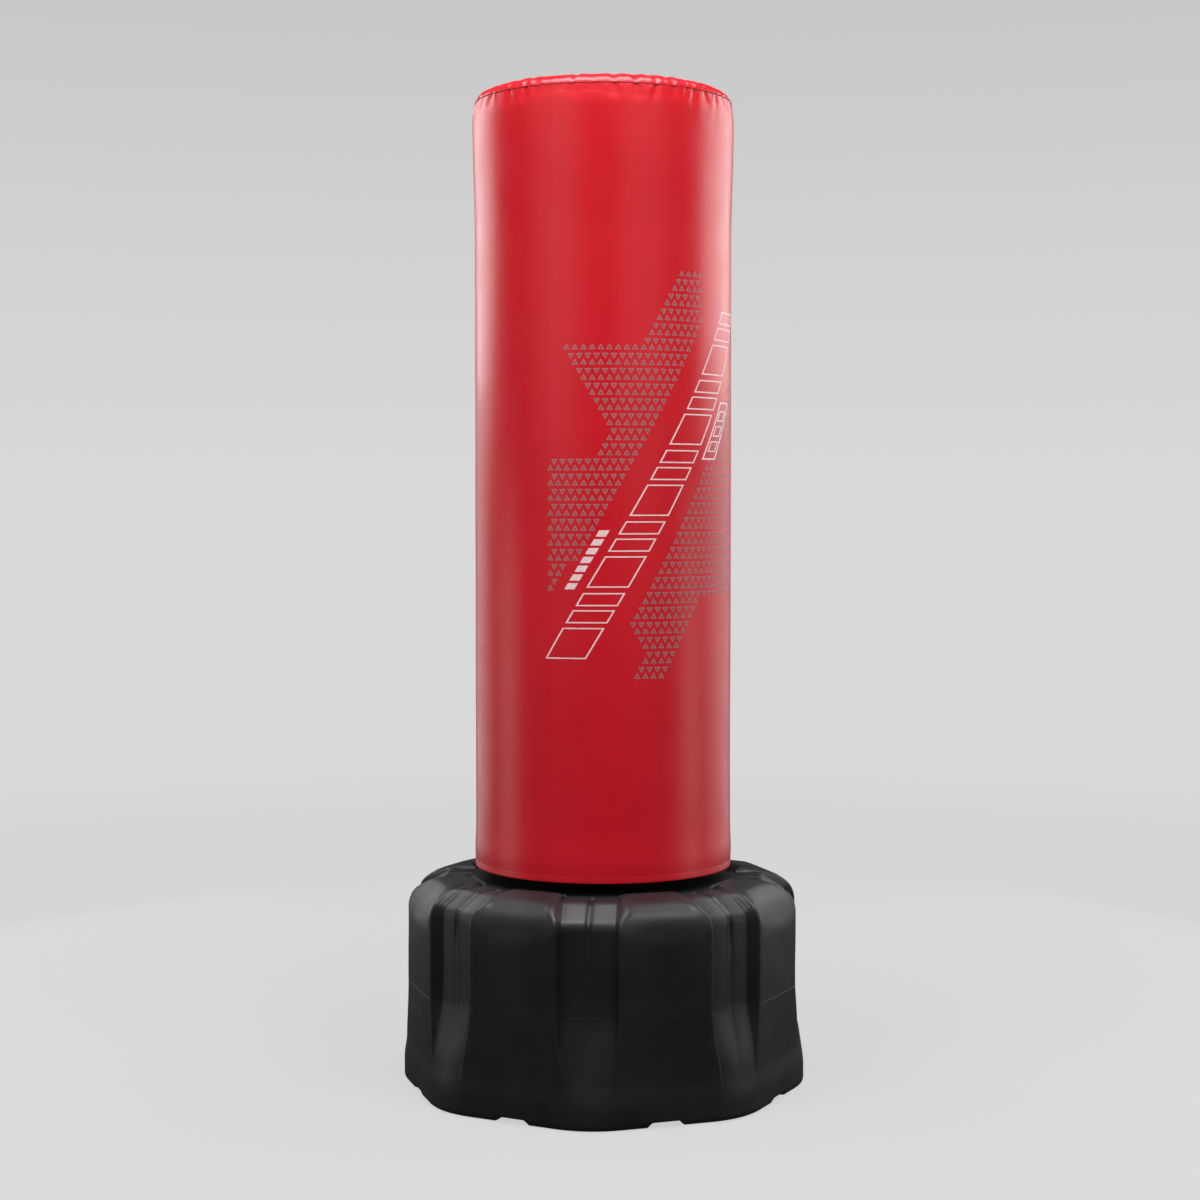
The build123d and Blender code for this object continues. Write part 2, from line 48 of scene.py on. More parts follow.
# ------------------------------------------------------------------- sizes
# Sizes in millimetres. Heights of the CAD pieces are read from the frame.

LOBES = 8
LOBE_HALF = math.pi / LOBES
APOTHEM = 342.0
CORNER_R = 150.0
CORNER_X = (APOTHEM - CORNER_R) / math.cos(LOBE_HALF)
SEAT_R = 84.0
SEAT_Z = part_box("slip_washer")[0][2] / MM
DISH_Z = SEAT_Z - 13.0
NECK_R = 58.5
NECK_TOP_Z = SEAT_Z + 70.0

BAG_R = 228.6
BAG_BOTTOM_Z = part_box("cover_sleeve")[0][2] / MM
SEAM_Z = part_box("cover_sleeve")[1][2] / MM - 4.5
SEAM_R = 229.0
TOP_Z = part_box("cover_top")[1][2] / MM + 4.0
SLOT_HALF = 7.0
SLOT_TOP_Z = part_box("zip_tape_left")[1][2] / MM

# camera: metres, degrees and the lens in millimetres
CAMERA_DISTANCE = 3.95
CAMERA_HEIGHT = 1.031
CAMERA_AZIMUTH = math.radians(4.3)
CAMERA_PITCH = math.radians(2.4)
CAMERA_YAW = math.radians(0.08)
LENS = 66.0


# ------------------------------------------------------------ mesh helpers


def mesh_object(name, verts, faces, material=None, smooth=True):
    """A new object from vertices in millimetres."""
    mesh = bpy.data.meshes.new(name)
    mesh.from_pydata([tuple(c * MM for c in v) for v in verts], [], faces)
    mesh.validate()
    shape = bmesh.new()
    shape.from_mesh(mesh)
    bmesh.ops.recalc_face_normals(shape, faces=shape.faces)
    shape.to_mesh(mesh)
    shape.free()
    mesh.polygons.foreach_set("use_smooth", [smooth] * len(mesh.polygons))
    obj = bpy.data.objects.new(name, mesh)
    bpy.context.scene.collection.objects.link(obj)
    if material:
        mesh.materials.append(material)
    return obj


def grid_faces(rows, cols, start=0):
    """Quads of a grid stored row by row, its last column joined to its first."""
    faces = []
    for r in range(rows - 1):
        for c in range(cols):
            d = (c + 1) % cols
            a = start + r * cols
            b = a + cols
            faces.append((a + c, a + d, b + d, b + c))
    return faces


def fan_faces(middle, start, cols):
    """Triangles from one point to each side of a ring."""
    return [(middle, start + i, start + (i + 1) % cols) for i in range(cols)]


def tube_faces(rows, sides, start):
    """Faces of a tube of rings, with a flat cap at each end."""
    end = start + (rows - 1) * sides
    caps = [tuple(start + k for k in reversed(range(sides))), tuple(end + k for k in range(sides))]
    return grid_faces(rows, sides, start=start) + caps


def section_faces(rows, cols):
    """Faces of a ring whose closed section has the given rows."""
    last = (rows - 1) * cols
    around = [(i, (i + 1) % cols) for i in range(cols)]
    return grid_faces(rows, cols) + [(last + i, last + j, j, i) for i, j in around]


def revolved(profile, segments, centre=(0, 0)):
    """Points round a vertical axis, one ring for each (radius, z)."""
    angles = [math.tau * i / segments for i in range(segments)]
    return [
        (centre[0] + r * math.cos(a), centre[1] + r * math.sin(a), z) for r, z in profile for a in angles
    ]


def lathe(name, profile, material, segments=96, centre=(0, 0)):
    """A closed solid turned about a vertical axis from (radius, z) pairs, both ends on the axis."""
    verts = [(*centre, profile[0][1]), *revolved(profile[1:-1], segments, centre), (*centre, profile[-1][1])]
    last = len(verts) - 1
    faces = grid_faces(len(profile) - 2, segments, start=1)
    faces += fan_faces(0, 1, segments) + fan_faces(last, last - segments, segments)
    return mesh_object(name, verts, faces, material)


def arc(centre, radius, start, end, count):
    """Points on an arc, angles in degrees, both ends included."""
    angles = np.radians(np.linspace(start, end, count))
    return [(centre[0] + radius * math.cos(a), centre[1] + radius * math.sin(a)) for a in angles]


def straight(start, end, count):
    """Points along a line, with neither end."""
    steps = np.linspace(0, 1, count + 2)[1:-1]
    return [tuple(np.array(start) * (1 - s) + np.array(end) * s) for s in steps]


def ease(x):
    """Smooth step from 0 to 1."""
    x = min(max(x, 0.0), 1.0)
    return x * x * (3 - 2 * x)


def wave(x, y, z, scale, seed=0.0):
    """Smooth noise from -1 to 1 with features about scale millimetres across."""
    return noise.noise(Vector((x / scale + seed, y / scale - seed, z / scale + 2 * seed)))


# --------------------------------------------------------------- materials


def new_material(name):
    material = bpy.data.materials.new(name)
    material.use_nodes = True
    tree = material.node_tree
    return material, tree, tree.nodes["Principled BSDF"]


def node(tree, kind, inputs=None, **settings):
    """A shader node with its settings and inputs; an input is a value or another socket."""
    made = tree.nodes.new(kind)
    for key, value in settings.items():
        setattr(made, key, value)
    for key, value in (inputs or {}).items():
        if isinstance(value, bpy.types.NodeSocket):
            tree.links.new(value, made.inputs[key])
        else:
            made.inputs[key].default_value = value
    return made


def place(tree):
    return node(tree, "ShaderNodeTexCoord").outputs["Object"]


def noise_value(tree, scale, detail=4.0, roughness=0.55, vector=None, distortion=0.0):
    made = node(
        tree,
        "ShaderNodeTexNoise",
        {"Vector": vector or place(tree), "Scale": scale, "Detail": detail,
         "Roughness": roughness, "Distortion": distortion},
    )
    return made.outputs["Fac"]


def remap(tree, value, low, high, to_low=0.0, to_high=1.0):
    made = node(
        tree,
        "ShaderNodeMapRange",
        {"Value": value, "From Min": low, "From Max": high, "To Min": to_low, "To Max": to_high},
    )
    return made.outputs["Result"]


def stretched(tree, scale, turn=(0.0, 0.0, 0.0)):
    """Object coordinates scaled and turned, so that a texture runs in one direction."""
    made = node(tree, "ShaderNodeMapping", {"Vector": place(tree), "Scale": scale, "Rotation": turn})
    return made.outputs["Vector"]


def toned(colour, factor, lift=0.0):
    return tuple(min(1.0, c * factor + lift) for c in colour[:3]) + (1.0,)


def mix_colour(tree, factor, first, second):
    made = node(tree, "ShaderNodeMix", data_type="RGBA")
    for socket, value in ((made.inputs[0], factor), (made.inputs[6], first), (made.inputs[7], second)):
        if isinstance(value, bpy.types.NodeSocket):
            tree.links.new(value, socket)
        else:
            socket.default_value = value
    return made.outputs[2]


def surface(tree, shader, colour, roughness, heights):
    """Links colour and roughness, and stacks bump maps: (height socket, strength, distance) triples."""
    tree.links.new(colour, shader.inputs["Base Color"])
    tree.links.new(roughness, shader.inputs["Roughness"])
    normal = None
    for height, strength, distance in heights:
        made = node(tree, "ShaderNodeBump", {"Height": height, "Strength": strength, "Distance": distance})
        if normal:
            tree.links.new(normal, made.inputs["Normal"])
        normal = made.outputs["Normal"]
    tree.links.new(normal, shader.inputs["Normal"])


def rgb(r, g, b):
    return (r, g, b, 1.0)


def moulded_plastic(name, colour, rough=(0.38, 0.52), grain=0.25, scuffed=True):
    """Rotomoulded or injected plastic: slight mottling, fine grain and rubbed spots."""
    material, tree, shader = new_material(name)
    spots = noise_value(tree, 9.0, 6.0, 0.6)
    fine = noise_value(tree, 900.0, 2.0, 0.5)
    mottled = mix_colour(tree, remap(tree, spots, 0.42, 0.75, 0.0, 0.7), colour, toned(colour, 1.7, 0.004))
    heights = [(noise_value(tree, 28.0, 3.0), 0.10, 0.004), (fine, grain, 0.0004)]
    if scuffed:
        along = stretched(tree, (1.0, 1.0, 7.0), (0.2, 0.5, 0.1))
        scratch = noise_value(tree, 34.0, 8.0, 0.75, along)
        heights.append((remap(tree, scratch, 0.62, 0.72), 0.12, 0.0006))
    surface(tree, shader, mottled, remap(tree, spots, 0.3, 0.7, *rough), heights)
    return material


def vinyl(name, colour, shade, rough=(0.30, 0.38)):
    """Coated cover cloth: a fine pebbled grain, soft unevenness and a semi-gloss skin."""
    material, tree, shader = new_material(name)
    shaded = mix_colour(tree, remap(tree, noise_value(tree, 3.2, 3.0), 0.35, 0.7), colour, shade)
    patches = noise_value(tree, 16.0, 5.0)
    grain = noise_value(tree, 800.0, 2.0, 0.6)
    heights = [(noise_value(tree, 11.0, 2.0), 0.08, 0.004), (grain, 0.14, 0.0004)]
    surface(tree, shader, shaded, remap(tree, patches, 0.3, 0.7, *rough), heights)
    return material


def ribbed(name, colour, pitch):
    """Woven tape or twisted thread: fine ribs, pitch millimetres apart, with painted shade in the grooves
    between them.
    """
    material, tree, shader = new_material(name)
    weave = node(
        tree,
        "ShaderNodeTexWave",
        {"Vector": stretched(tree, (1 / (pitch * MM),) * 3), "Scale": 1.0, "Distortion": 1.2, "Detail": 2.0},
        bands_direction="DIAGONAL",
    ).outputs["Fac"]
    # the colour is darker where the ribs' bump is low: painted shade in the grooves between the ribs
    ribs_with_painted_shade = mix_colour(tree, weave, toned(colour, 0.45), colour)
    surface(tree, shader, ribs_with_painted_shade, remap(tree, weave, 0.0, 1.0, 0.9, 0.7), [(weave, 0.4, 0.0004)])
    return material


def metal(name, colour, metallic, rough=(0.28, 0.45)):
    """Plated or painted metal with a fine brushed grain and worn spots."""
    material, tree, shader = new_material(name)
    shader.inputs["Metallic"].default_value = metallic
    brushed = noise_value(tree, 2600.0, 3.0, 0.6, stretched(tree, (1.0, 1.0, 0.06)))
    worn = noise_value(tree, 420.0, 4.0)
    rubbed = mix_colour(tree, remap(tree, worn, 0.6, 0.75, 0.0, 0.6), colour, toned(colour, 2.2, 0.05))
    heights = [(brushed, 0.1, 0.0002), (worn, 0.1, 0.0002)]
    surface(tree, shader, rubbed, remap(tree, brushed, 0.3, 0.7, *rough), heights)
    return material


def cellular(name, colour, pore=420.0):
    """Cut foam: open pores over a soft uneven face."""
    material, tree, shader = new_material(name)
    pores = node(tree, "ShaderNodeTexVoronoi", {"Vector": place(tree), "Scale": pore}).outputs["Distance"]
    pitted = mix_colour(tree, remap(tree, pores, 0.1, 0.6), colour, toned(colour, 0.5))
    rough = remap(tree, noise_value(tree, 40.0), 0.3, 0.7, 0.85, 1.0)
    surface(tree, shader, pitted, rough, [(pores, 0.6, 0.001)])
    return material


def plywood(name):
    """Thin birch veneers with a light grain."""
    material, tree, shader = new_material(name)
    grain = noise_value(tree, 14.0, 8.0, 0.65, stretched(tree, (1.0, 9.0, 60.0)), 0.6)
    veneer = mix_colour(tree, grain, rgb(0.36, 0.23, 0.12), rgb(0.68, 0.52, 0.33))
    surface(tree, shader, veneer, remap(tree, grain, 0.3, 0.7, 0.55, 0.75), [(grain, 0.2, 0.0006)])
    return material


def sand(name):
    """Dry sharp sand."""
    material, tree, shader = new_material(name)
    grains = node(tree, "ShaderNodeTexVoronoi", {"Vector": place(tree), "Scale": 900.0})
    mixed = mix_colour(
        tree, remap(tree, grains.outputs["Color"], 0.0, 1.0), rgb(0.32, 0.24, 0.15), rgb(0.66, 0.56, 0.42)
    )
    rough = remap(tree, noise_value(tree, 60.0), 0.3, 0.7, 0.8, 1.0)
    heights = [(grains.outputs["Distance"], 0.7, 0.001), (noise_value(tree, 12.0), 0.4, 0.01)]
    surface(tree, shader, mixed, rough, heights)
    return material


def ink(name, colour):
    """Screen-printed ink, a little uneven and duller than the vinyl under it."""
    material, tree, shader = new_material(name)
    patchy = noise_value(tree, 240.0, 4.0)
    faded = mix_colour(tree, remap(tree, patchy, 0.4, 0.7), colour, toned(colour, 0.8))
    surface(tree, shader, faded, remap(tree, patchy, 0.3, 0.7, 0.38, 0.55), [(patchy, 0.1, 0.0002)])
    return material


BLACK = rgb(0.0084, 0.0084, 0.0091)
RED = rgb(0.53, 0.0075, 0.0165)
RED_SHADE = rgb(0.48, 0.006, 0.0125)

tank_plastic = moulded_plastic("tank_plastic", BLACK, (0.40, 0.54))
cap_plastic = moulded_plastic("cap_plastic", rgb(0.012, 0.012, 0.013), (0.34, 0.46), 0.2)
insert_plastic = moulded_plastic("insert_plastic", rgb(0.02, 0.02, 0.021), (0.4, 0.55), 0.15)
core_plastic = moulded_plastic("core_plastic", rgb(0.03, 0.03, 0.032), (0.35, 0.5), 0.15)
washer_plastic = moulded_plastic("washer_plastic", rgb(0.72, 0.71, 0.66), (0.3, 0.42), 0.1, False)
gasket_rubber = moulded_plastic("gasket_rubber", rgb(0.015, 0.015, 0.015), (0.6, 0.75), 0.2, False)
red_vinyl = vinyl("red_vinyl", RED, RED_SHADE)
black_vinyl = vinyl("black_vinyl", rgb(0.015, 0.015, 0.016), rgb(0.010, 0.010, 0.011), (0.4, 0.5))
dark_thread = ribbed("dark_thread", rgb(0.09, 0.012, 0.014), 0.5)
red_thread = ribbed("red_thread", rgb(0.42, 0.016, 0.02), 0.5)
zip_cloth = ribbed("zip_cloth", rgb(0.022, 0.022, 0.024), 0.7)
zip_nylon = moulded_plastic("zip_nylon", rgb(0.02, 0.02, 0.022), (0.25, 0.35), 0.05, False)
zip_metal = metal("zip_metal", rgb(0.05, 0.05, 0.053), 0.85)
screw_steel = metal("screw_steel", rgb(0.55, 0.55, 0.56), 1.0)
firm_foam = cellular("firm_foam", rgb(0.13, 0.13, 0.14), 500.0)
soft_foam = cellular("soft_foam", rgb(0.68, 0.63, 0.50))
birch = plywood("birch")
dry_sand = sand("dry_sand")
grey_ink = ink("grey_ink", rgb(0.24, 0.17, 0.17))
pale_ink = ink("pale_ink", rgb(0.80, 0.60, 0.60))

# CAD nodes that keep their own shape
NODE_MATERIALS = (
    (dry_sand, "ballast_sand"),
    (insert_plastic, "filler_insert"),
    (gasket_rubber, "filler_gasket"),
    (cap_plastic, "filler_cap"),
    (washer_plastic, "slip_washer"),
    (core_plastic, "threaded_collar", "core_tube", "core_cap"),
    (birch, "bottom_plate"),
    (screw_steel, "collar_screws"),
    (black_vinyl, "cover_bottom"),
    (zip_cloth, "zip_tape_left", "zip_tape_right"),
    (zip_metal, "zip_bottom_stops", "zip_end_stop", "zip_slider", "zip_pull", "zip_pull_pin"),
)
for material, *names in NODE_MATERIALS:
    for name in names:
        for slot in nodes[name].material_slots:
            slot.material = material


# -------------------------------------------------------------------- tank
# Rows run from the dish under the bag, over the shoulder and down the wall to
# the underside. Each row has one place for the lobes, as a distance from the
# axis square to the face, and one for the channel floors.

TOP_SLOPE = 0.16
EDGE_Z = DISH_Z - 7.0
SHOULDER_R = 52.0
PILLOW_DROP = 5.0
CHANNEL_X = 330.0
CHANNEL_HALF = 46.0
CHANNEL_TAPER = 0.2
WALL_DRAFT = math.tan(math.radians(14))
FADE_TOP_Z = 196.0
FADE_END_Z = 22.0
PARTING_Z = 185.0
CREASE_Z = 59.0
SKIRT_FLARE = 3.5
SKIRT_BLEND = 46.0
NOTCH_HALF = 30.0
NOTCH_Z = 10.0
NOTCH_DEPTH = 45.0


def tank_rows():
    """Rows from the dish to the underside, each a pair of (lobe distance, z) and (channel distance, z)."""
    slope = math.atan(TOP_SLOPE)
    lean = 90 - math.degrees(slope)
    arc_x = APOTHEM - SHOULDER_R
    arc_z = EDGE_Z + TOP_SLOPE * SHOULDER_R - SHOULDER_R / math.cos(slope)
    top_start = (arc_x + SHOULDER_R * math.sin(slope), arc_z + SHOULDER_R * math.cos(slope))
    inner_r = 252.0
    inner_z = EDGE_Z + TOP_SLOPE * (APOTHEM - inner_r)
    flat = [(60, DISH_Z), (120, DISH_Z), (180, DISH_Z), (212, DISH_Z), (224, DISH_Z)]
    lobe = flat + arc((226, DISH_Z + 5), 5, -84, -12, 5)
    lobe += arc((inner_r - 2, inner_z - 17), 17, 158, lean, 8)
    lobe += straight((inner_r, inner_z), top_start, 7)
    lobe += arc((arc_x, arc_z), SHOULDER_R, lean, 0, 26)

    knee = (276.0, DISH_Z - 0.7)
    bend_r, lower_r, bend_turn = 22.0, 24.0, 52
    channel = flat + straight((224, DISH_Z), (248, DISH_Z - 0.1), 13)
    channel += straight((248, DISH_Z - 0.1), knee, 7)
    channel += arc((knee[0], knee[1] - bend_r), bend_r, 90, bend_turn, 11)
    channel += arc((CHANNEL_X - lower_r, DISH_Z - 43), lower_r, bend_turn, 0, 15)

    fine = [PARTING_Z + step for step in (7, 5.2, *np.arange(4.2, -4.3, -0.7), -5.2, -7)]
    wall = list(np.linspace(arc_z - 4, PARTING_Z + 12, 13)) + fine
    wall += list(np.linspace(PARTING_Z - 12, CREASE_Z + 14, 15))
    wall += list(np.linspace(CREASE_Z + 10, CREASE_Z - 14, 9)) + [38, 31, 25, 19, 13.5, 10.5]
    lobe += [(APOTHEM, z) for z in wall]
    channel += [(CHANNEL_X, z) for z in wall]
    rounded = arc((APOTHEM - 10, 10), 10, -15, -90, 6)
    under = [(n, 0) for n in (325, 312, APOTHEM - NOTCH_DEPTH, APOTHEM - NOTCH_DEPTH - 3, 250, 160, 60)]
    lobe += rounded + under
    channel += [(n - APOTHEM + CHANNEL_X, z) for n, z in rounded + under]
    return lobe, channel


def outline(t, inset):
    """The octagon's rounded outline beside a channel: distance along the channel's direction."""
    reach = CORNER_R - inset
    if reach > 0 and t < reach * math.sin(LOBE_HALF):
        return CORNER_X + math.sqrt(reach * reach - t * t)
    return (APOTHEM - inset - t * math.sin(LOBE_HALF)) / math.cos(LOBE_HALF)


FLOOR_T = (0, 1.0, 2.0, 3.0, 4.0, 5.2, 7, 10, 14.5, 19.5, 24.5, 29.5, 34, 38, 41.2)
WALL_STEPS = ((-0.25, 0.0), (-0.08, 0.012), (0.07, 0.07), (0.25, 0.2), (0.6, 0.42), (0.86, 0.57),
              (0.95, 0.68), (1.1, 0.785), (1.34, 0.874), (1.62, 0.935), (1.95, 0.978), (2.4, 1.0))
LIP_END = WALL_STEPS[-1][0]
LOBE_STEPS = (0.06, 0.13, 0.21, 0.3, 0.39, 0.48, 0.57, 0.66, 0.75, 0.84, 0.92, 1.0)


def channel_fade(x, z):
    """How far the recess has run out into the wall, from 0 to 1."""
    if x >= CHANNEL_X - 0.01 and z > 0:
        return ease((FADE_TOP_Z - z) / (FADE_TOP_Z - FADE_END_Z))
    return 1.0 if z < 12 else 0.0


def recess_depths(lobe, channel):
    """Depth of the recess at each row, smoothed so that the lips run in even curves."""
    depths = []
    for (n, lobe_z), (x, z) in zip(lobe, channel):
        corner_x = outline(min(CHANNEL_HALF, n * math.sin(LOBE_HALF) * 0.5), APOTHEM - n)
        depths.append(math.hypot(corner_x - x, lobe_z - z) * (1 - channel_fade(x, z)))
    kernel = np.exp(-np.linspace(-1.8, 1.8, 13) ** 2)
    padded = np.pad(depths, 6, mode="edge")
    return np.convolve(padded, kernel / kernel.sum(), mode="valid")


def tank_point(column, lobe_row, channel_row, channel_normal, depth):
    """One point of half a bay, in the channel's own frame: (along, across, z)."""
    n, lobe_z = lobe_row
    x, channel_z = channel_row
    inset = APOTHEM - n
    fade = channel_fade(x, channel_z)
    foot_t = min(CHANNEL_HALF * (1 - CHANNEL_TAPER * fade), n * math.sin(LOBE_HALF) * 0.5)
    corner_x = outline(foot_t, inset)
    floor_x = x * (1 - fade) + corner_x * fade
    lip_t = foot_t + depth * WALL_DRAFT + 1.0
    lip_end = foot_t + (lip_t - foot_t) * LIP_END
    low_z = channel_z * (1 - fade) + lobe_z * fade

    kind, value = column
    if kind == "floor":
        t = value * foot_t / CHANNEL_HALF
        lift = 0.0
        if n > 243:
            spread = (value - 5) / (CHANNEL_HALF - 5)
            crown = 1.4 * max(math.sin(math.pi * min(max(spread, 0), 1)), 0) ** 0.7
            groove = -2.8 * (1 - ease((value - 1) / 5.5))
            lift = (crown + groove * (0.1 + 0.9 * ease((channel_z - 270) / 60))) * (1 - fade)
        base_x = floor_x * (1 - fade) + outline(t, inset) * fade
        return base_x + channel_normal[0] * lift, t, low_z + channel_normal[1] * lift
    if kind == "wall":
        v, w = value
        t = foot_t + (lip_t - foot_t) * v
        top_x = outline(t, inset)
        low_x = floor_x * (1 - fade) + top_x * fade
        return low_x * (1 - w) + top_x * w, t, low_z * (1 - w) + lobe_z * w
    t = lip_end * (1 - value) + n * math.sin(LOBE_HALF) * value
    return outline(t, inset), t, lobe_z


def build_tank():
    """The moulded tank as one closed skin."""
    lobe, channel = tank_rows()
    half = [("floor", t) for t in FLOOR_T]
    half += [("wall", step) for step in WALL_STEPS]
    half += [("lobe", step) for step in LOBE_STEPS]
    normals = []
    for i in range(len(channel)):
        a = channel[max(i - 1, 0)]
        b = channel[min(i + 1, len(channel) - 1)]
        dx, dz = b[0] - a[0], b[1] - a[1]
        size = math.hypot(dx, dz) or 1.0
        normals.append((-dz / size, dx / size))

    columns = []
    for k in range(LOBES):
        columns += [(k, -1, c) for c in reversed(half[1:-1])]
        columns += [(k, 1, c) for c in half]

    verts = []
    depths = recess_depths(lobe, channel)
    for lobe_row, channel_row, normal, depth in zip(lobe, channel, normals, depths):
        for k, side, column in columns:
            along, across, z = tank_point(column, lobe_row, channel_row, normal, depth)
            angle = -math.pi / 2 + k * 2 * LOBE_HALF
            x = along * math.cos(angle) - side * across * math.sin(angle)
            y = along * math.sin(angle) + side * across * math.cos(angle)
            verts.append(finish_tank_point(x, y, z, lobe_row, column, across))
    cols = len(columns)
    faces = grid_faces(len(lobe), cols)
    faces += fan_faces(len(verts), 0, cols) + fan_faces(len(verts) + 1, len(verts) - cols, cols)
    verts += [(0, 0, DISH_Z), (0, 0, 0)]
    return mesh_object("tank", verts, faces, tank_plastic)


def finish_tank_point(x, y, z, lobe_row, column, across):
    """Adds the puffed lobes, parting line, skirt crease, arches and the mould's unevenness."""
    n, row_z = lobe_row
    r = math.hypot(x, y)
    ux, uy = x / r, y / r
    across_lobe = (n * math.sin(LOBE_HALF) - across) / math.cos(LOBE_HALF)
    push = rise = 0.0
    if column[0] == "lobe" and n > 243:
        puff = 1 - (across_lobe / 90.0) ** 2
        rounding = PILLOW_DROP * puff * ease((n - 290) / 30) * ease((row_z - 300) / 30)
        push = 1.6 * puff * ease(z / 60) - 0.7 * rounding
        rise = 1.8 * puff * ease((row_z - 320) / 30) - 0.7 * rounding
    if 60 < z < 340 and n > 300:
        gap = abs(z - PARTING_Z - 1.2 * wave(x, y, 0, 55, 3.1))
        push += 0.2 * (1 - ease((gap - 1.0) / 2.5)) - 0.65 * (1 - ease(gap / 1.4))
    if 0 < z < CREASE_Z + 30 and n > 300:
        level = CREASE_Z + 22 + 2.5 * wave(x, y, 0, 70, 5.0)
        push += SKIRT_FLARE * ease((level - z) / SKIRT_BLEND)
    if z > 0.5 and n > 300:
        push += 0.9 * wave(x, y, z, 95, 1.7) + 0.3 * wave(x, y, z, 32, 4.2)
    if z > 300 and 243 < n < 320:
        rise += 0.6 * wave(x, y, z, 60, 2.3)
    if column[0] == "lobe" and n >= APOTHEM - NOTCH_DEPTH - 0.1:
        z = max(z, NOTCH_Z * ease((NOTCH_HALF + 2 - abs(across_lobe)) / 4))
    return x + ux * push, y + uy * push, z + rise


def build_neck():
    """Seat ring and threaded neck in the middle of the tank."""
    segments = 192
    pitch, start_z, end_z = 12.0, SEAT_Z + 10, SEAT_Z + 58
    profile = [(88, DISH_Z - 2), (SEAT_R + 1.5, DISH_Z), (SEAT_R, DISH_Z + 2), (SEAT_R, SEAT_Z - 1.2),
               (SEAT_R - 1.2, SEAT_Z), (NECK_R + 1.2, SEAT_Z), (NECK_R, SEAT_Z + 1.2)]
    profile += [(NECK_R, z) for z in np.arange(SEAT_Z + 3, NECK_TOP_Z - 4, 0.75)]
    profile += arc((NECK_R - 4, NECK_TOP_Z - 4), 4, 10, 90, 5)
    verts = []
    for r, z in profile:
        for i in range(segments):
            a = math.tau * i / segments
            turned = z - start_z - pitch * i / segments
            phase = (turned / pitch + 0.5) % 1.0 - 0.5
            ridge = 3.4 * ease((3.1 - abs(phase) * pitch) / 1.5)
            ridge *= ease((z - start_z + 4) / 6) * ease((end_z + 6 - z) / 6)
            if z < SEAT_Z + 2 or z > NECK_TOP_Z - 5:
                ridge = 0.0
            verts.append(((r + ridge) * math.cos(a), (r + ridge) * math.sin(a), z))
    top = len(verts)
    faces = grid_faces(len(profile), segments)
    faces += fan_faces(top, top - segments, segments) + fan_faces(top + 1, 0, segments)
    verts += [(0, 0, NECK_TOP_Z), (0, 0, DISH_Z - 2)]
    return mesh_object("tank_neck", verts, faces, tank_plastic)


filler_lo, filler_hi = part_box("filler_insert")
filler_xy = ((filler_lo[0] + filler_hi[0]) / 2 / MM, (filler_lo[1] + filler_hi[1]) / 2 / MM)
filler_top_z = filler_hi[2] / MM
FILLER_R = 24.0
BORE_IN_SAND = 4.0
BOSS_SEGMENTS = 72


def build_boss():
    """Level moulded boss round the filler, with a filleted foot."""
    z = filler_top_z
    profile = [(FILLER_R, z - 14), (FILLER_R, z - 0.6), (FILLER_R + 0.6, z), (30.2, z)]
    profile += arc((30.2, z - 1.6), 1.6, 75, 10, 4)
    profile += [(32.2, z - 4), (32.8, z - 6.5), (34.5, z - 9), (38, z - 12), (38, z - 14)]
    faces = section_faces(len(profile), BOSS_SEGMENTS)
    return mesh_object("filler_boss", revolved(profile, BOSS_SEGMENTS, filler_xy), faces, tank_plastic)


def open_filler(skin):
    """Opens the tank's skin under the filler, down to the sand."""
    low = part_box("ballast_sand")[1][2] / MM - BORE_IN_SAND
    high = filler_top_z + 20
    profile = [(0, low), (FILLER_R, low), (FILLER_R, high), (0, high)]
    cutter = lathe("cutter", profile, None, BOSS_SEGMENTS, filler_xy)
    bore = skin.modifiers.new("bore", "BOOLEAN")
    bore.operation = "DIFFERENCE"
    bore.solver = "EXACT"
    bore.object = cutter
    bpy.context.view_layer.update()
    opened = skin.evaluated_get(bpy.context.evaluated_depsgraph_get())
    mesh = bpy.data.meshes.new_from_object(opened)
    skin.modifiers.clear()
    skin.data = mesh
    bpy.data.objects.remove(cutter)


tank = build_tank()
open_filler(tank)
tank_neck = build_neck()
filler_boss = build_boss()
for piece in (tank, tank_neck, filler_boss):
    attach(piece, "base")
    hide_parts("base_shell")


# -------------------------------------------------------------------- cover
# Angles are in radians from the back seam, towards -X; the back seam and its
# zip face +Y. Heights are in millimetres.

BULGE_Z = SEAM_Z - 42.0
STRAIGHT_Z = SEAM_Z - 242.0
SWELL = 3.9
DOME_R = 198.0
CROWN = 1.8
DOME_EDGE = TOP_Z - SEAM_Z - CROWN
COVER_COLUMNS = 360
SIM_BOTTOM_Z = SEAM_Z - 150.0
SIM_INNER_R = 110.0
SETTLE_SHARE = 0.2
SETTLE_FULL = 4.0
SETTLE_FADE = 72.0
PIN_ROWS = 12
DRAWN_BAND = 5.0
MOST_INWARD = 1.0
MOST_OUTWARD = 2.0
MOST_SIDEWAYS = 3.0
HEM_STITCH_RISE = 7.0
VINYL_THICKNESS = 1.4
SIM_STEPS = 18
rng = np.random.default_rng(11)


def direction(angle):
    """Unit vector out of the bag at an angle from the back seam."""
    return -math.sin(angle), math.cos(angle)


